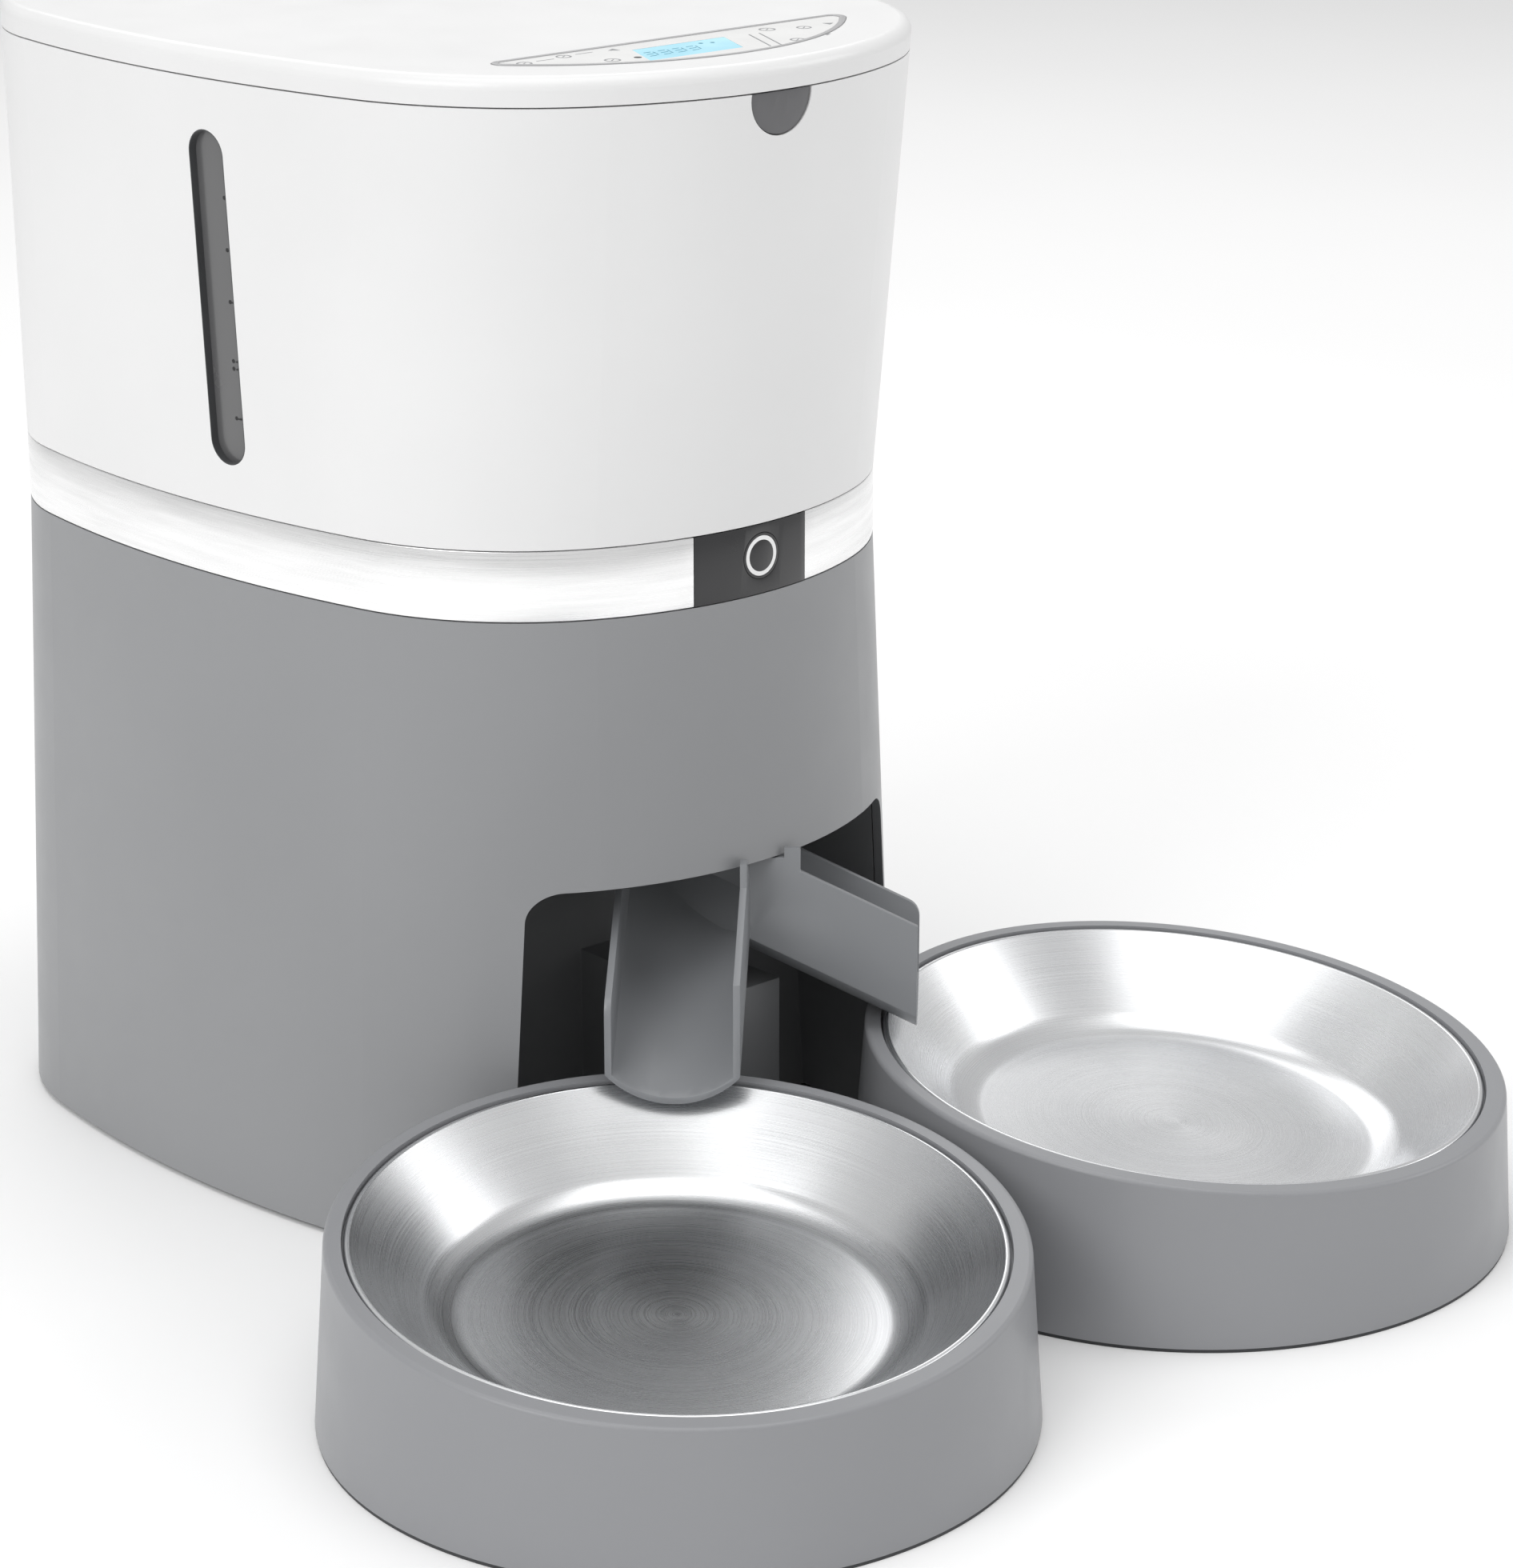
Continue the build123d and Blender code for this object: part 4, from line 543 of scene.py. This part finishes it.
def soften(node, width, segments=2, limit=32):
    """Show a copy of a CAD part whose sharp edges are rounded."""
    take(nodes[node])
    bpy.ops.object.duplicate()
    piece = bpy.context.object
    if piece.data.has_custom_normals:
        bpy.ops.mesh.customdata_custom_splitnormals_clear()
    edit(piece)
    bpy.ops.mesh.remove_doubles(threshold=0.000002)
    bpy.ops.mesh.dissolve_limited(angle_limit=radians(0.4))
    take(piece)
    bevel = piece.modifiers.new("rounding", "BEVEL")
    bevel.width = width * MM
    bevel.segments = segments
    bevel.limit_method = "ANGLE"
    bevel.angle_limit = radians(limit)
    bevel.use_clamp_overlap = True
    bevel.harden_normals = False
    bpy.ops.object.modifier_apply(modifier=bevel.name)
    material = nodes[node].material_slots[0].material
    finish_piece(piece, node + "_shown", body_of_node[node], material)
    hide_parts(node)
    return piece


# %% Round the visible mouldings
soft_edges = {
    "splitter": 0.35,
    "recess_liner": 0.4,
    "latch_button": 0.3,
    "feed_button": 0.4,
    "button_panel": 0.3,
    "trim_band": 0.3,
    "panel_bezel": 0.25,
    "battery_door": 0.3,
}
for node, width in soft_edges.items():
    soften(node, width)

# %% [markdown]
# ## Turned bowls
# Each bowl is pressed from one round sheet and its rim is rolled over a thick bead. On a
# lathe that is one outline turned about the axis, and Spin does the same: a single
# corner is drawn out point by point into half of the bowl's section, and the section is
# turned once round. The seam and both poles are merged afterwards, so the bowl is closed
# and its polish runs over it without a break.
# %% Outline helper
def rounded(before, corner, after, radius, steps):
    """Points on an arc that rounds a corner between two straight runs."""
    here = Vector(corner)
    back = (Vector(before) - here).normalized()
    ahead = (Vector(after) - here).normalized()
    half = back.angle(ahead) / 2
    middle = here + (back + ahead).normalized() * (radius / sin(half))
    start = here + back * (radius / sin(half) * cos(half)) - middle
    end = here + ahead * (radius / sin(half) * cos(half)) - middle
    sweep = start.angle_signed(end)
    turned = [Matrix.Rotation(-sweep * i / steps, 2) @ start + middle for i in range(steps + 1)]
    return [tuple(point) for point in turned]


# %% Spin the bowls
def turned_bowl(node, side, steel):
    """Turn one bowl's section about its leaning axis."""
    low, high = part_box(node)
    centre, turn = bowl_place(side)
    axis = turn @ Vector((0, 0, 1))
    rim = (high.x - low.x) / 2 / sqrt(1 - axis.x ** 2) / MM
    wall = rim - 2.2
    inner_top, outer_top = (wall + 0.8, -0.5), (rim, -0.5)
    inner_foot, outer_foot = (57.2, -22.0), (58.0, -22.8)
    under, lip = (wall, -2.5), (rim, -2.5)
    section = [(0, -22.0)]
    section += rounded((0, -22.0), inner_foot, inner_top, 14.0, 14)
    section += rounded(inner_foot, inner_top, outer_top, 0.7, 5)
    section += rounded(inner_top, outer_top, lip, 0.9, 6)
    section += rounded(outer_top, lip, under, 0.4, 3)
    section += [under]
    section += rounded(under, outer_foot, (0, -22.8), 14.8, 14)
    section += [(0, -22.8)]
    clear_selection()
    bpy.ops.mesh.primitive_plane_add(size=MM)
    piece = bpy.context.object
    edit(piece)
    bpy.ops.mesh.merge(type="CENTER")
    bpy.ops.transform.translate(value=(section[0][0] * MM, 0, section[0][1] * MM))
    for (r0, z0), (r1, z1) in zip(section, section[1:]):
        step = ((r1 - r0) * MM, 0, (z1 - z0) * MM)
        bpy.ops.mesh.extrude_region_move(TRANSFORM_OT_translate={"value": step})
    bpy.ops.mesh.select_all(action="SELECT")
    bpy.ops.mesh.spin(steps=144, angle=2 * pi, center=(0, 0, 0), axis=(0, 0, 1))
    bpy.ops.mesh.select_all(action="SELECT")
    bpy.ops.mesh.remove_doubles(threshold=0.00002)
    bpy.ops.mesh.normals_make_consistent(inside=False)
    clear_selection()
    piece.location = centre
    piece.rotation_euler = turn.to_euler()
    finish_piece(piece, node + "_turned", node, steel, angle=50)
    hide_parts(node)


turned_bowl("left_bowl", -1, left_steel)
turned_bowl("right_bowl", 1, right_steel)

# %% [markdown]
# ## Printed marks
# The lens carries small printed symbols, two thin divider lines and a sensor dot, and
# the display shows a few dark segments. The level window has short marks beside its
# front edge. Ink has almost no height, so each mark is a flat outline raised by a few
# hundredths of a millimetre: an inset makes a ring, a corner bevel softens a bar.
# %% Mark helpers
INK = 0.06 * MM


def mark(sides, size, length=None, line=None, spin=0.0):
    """A flat raised shape at the origin: disc, ring, triangle or rounded bar (in mm)."""
    clear_selection()
    bpy.ops.mesh.primitive_circle_add(vertices=sides, radius=size * MM, fill_type="NGON")
    piece = bpy.context.object
    if length:
        piece.rotation_euler.z = pi / 4
        take(piece)
        bpy.ops.object.transform_apply(rotation=True)
        piece.scale.x = length / (size * sqrt(2))
        piece.scale.y = 1 / sqrt(2)
        bpy.ops.object.transform_apply(scale=True)
    edit(piece)
    if length:
        bpy.ops.mesh.bevel(offset=0.1 * MM, segments=2, affect="VERTICES")
        bpy.ops.mesh.select_all(action="SELECT")
    if line:
        bpy.ops.mesh.inset(thickness=line * MM)
        bpy.ops.mesh.delete(type="FACE")
        bpy.ops.mesh.select_all(action="SELECT")
    bpy.ops.mesh.extrude_region_move(TRANSFORM_OT_translate={"value": (0, 0, INK)})
    bpy.ops.mesh.select_all(action="SELECT")
    bpy.ops.mesh.normals_make_consistent(inside=False)
    clear_selection()
    piece.rotation_euler.z = radians(spin)
    take(piece)
    bpy.ops.object.transform_apply(rotation=True)
    return piece


def put(piece, x, y, z):
    """Move a mark to its place, given in mm."""
    piece.location = Vector((x, y, z)) * MM
    return piece


def print_sheet(marks, name, body, material):
    """Join marks into one printed piece."""
    take(marks[0])
    for piece in marks:
        piece.select_set(True)
    bpy.ops.object.join()
    return finish_piece(bpy.context.object, name, body, material)


# %% Symbols on the lens
lens_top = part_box("panel_overlay")[1].z / MM - 0.02
rings = [(-50.5, -13.5, 2.0), (-37, -12.0, 2.0), (-31.5, -24, 2.1), (28, -14, 2.2), (37, -18, 2.0), (23, -31, 2.0)]
arrows = [(-21.5, -12.5, 1.7, 90), (46, -17.5, 1.6, -90), (34, -29.5, 1.7, 30)]
marks = [put(mark(24, size, line=0.45), x, y, lens_top) for x, y, size in rings]
marks += [put(mark(3, size, spin=spin), x, y, lens_top) for x, y, size, spin in arrows]
marks += [put(mark(4, 0.3, length=2.0, spin=35), x, y, lens_top) for x, y, size in rings]
marks += [put(mark(4, 0.3, length=5.5), x + 6.8, y + 0.4, lens_top) for x, y, size in rings[:2]]
marks += [put(mark(4, 0.4, length=18.5, spin=65), 15.2 + shift, -25.5, lens_top) for shift in (0, 3.4)]
print_sheet(marks, "panel_symbols", "lid", print_dark)
print_sheet([put(mark(20, 1.0), -24.3, -25.0, lens_top)], "sensor_dot", "lid", print_black)

# %% Segments on the display
display_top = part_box("display_window")[1].z / MM - 0.02
segments = []
for column in range(4):
    left = -17.5 + column * 4.6
    for row in range(3):
        segments.append(put(mark(4, 0.28, length=2.2), left - row * 1.0, -20.5 - row * 2.4, display_top))
    for row in range(2):
        segments.append(put(mark(4, 0.28, length=1.8, spin=70), left + 1.3 - row, -21.7 - row * 2.4, display_top))
segments += [put(mark(16, 0.6), 1.5 + i * 3.0, -18.8 - i, display_top) for i in range(2)]
print_sheet(segments, "display_segments", "lid", display_ink)

# %% Marks on the level window
window = nodes["level_window"]
window_middle = (window_low + window_high) / 2
LEAN = radians(1.8)
ticks = []
for height, reach in ((286.8, 0), (273.7, 2.2), (260.3, 0), (246.9, 2.2), (231.5, 1.6), (229.5, 1.6), (216.4, 2.2)):
    drop = window_middle.z - height * MM
    along = window_middle.y + drop * sin(LEAN) - 2.6 * MM
    origin = Vector((window_low.x - 0.05, along, height * MM))
    hit, spot, normal, _ = window.ray_cast(origin, Vector((1, 0, 0)))
    shapes = [(mark(16, 0.55), 0.0)]
    if reach:
        shapes.append((mark(4, 0.35, length=reach), -1.9))
    for piece, shift in shapes:
        piece.rotation_euler = normal.to_track_quat("Z", "Y").to_euler()
        piece.location = spot + Vector((0, shift * MM, 0)) - normal * 0.02 * MM
        ticks.append(piece)
    print("tick at", height, "found the window:", hit)
print_sheet(ticks, "window_ticks", "base", print_black)
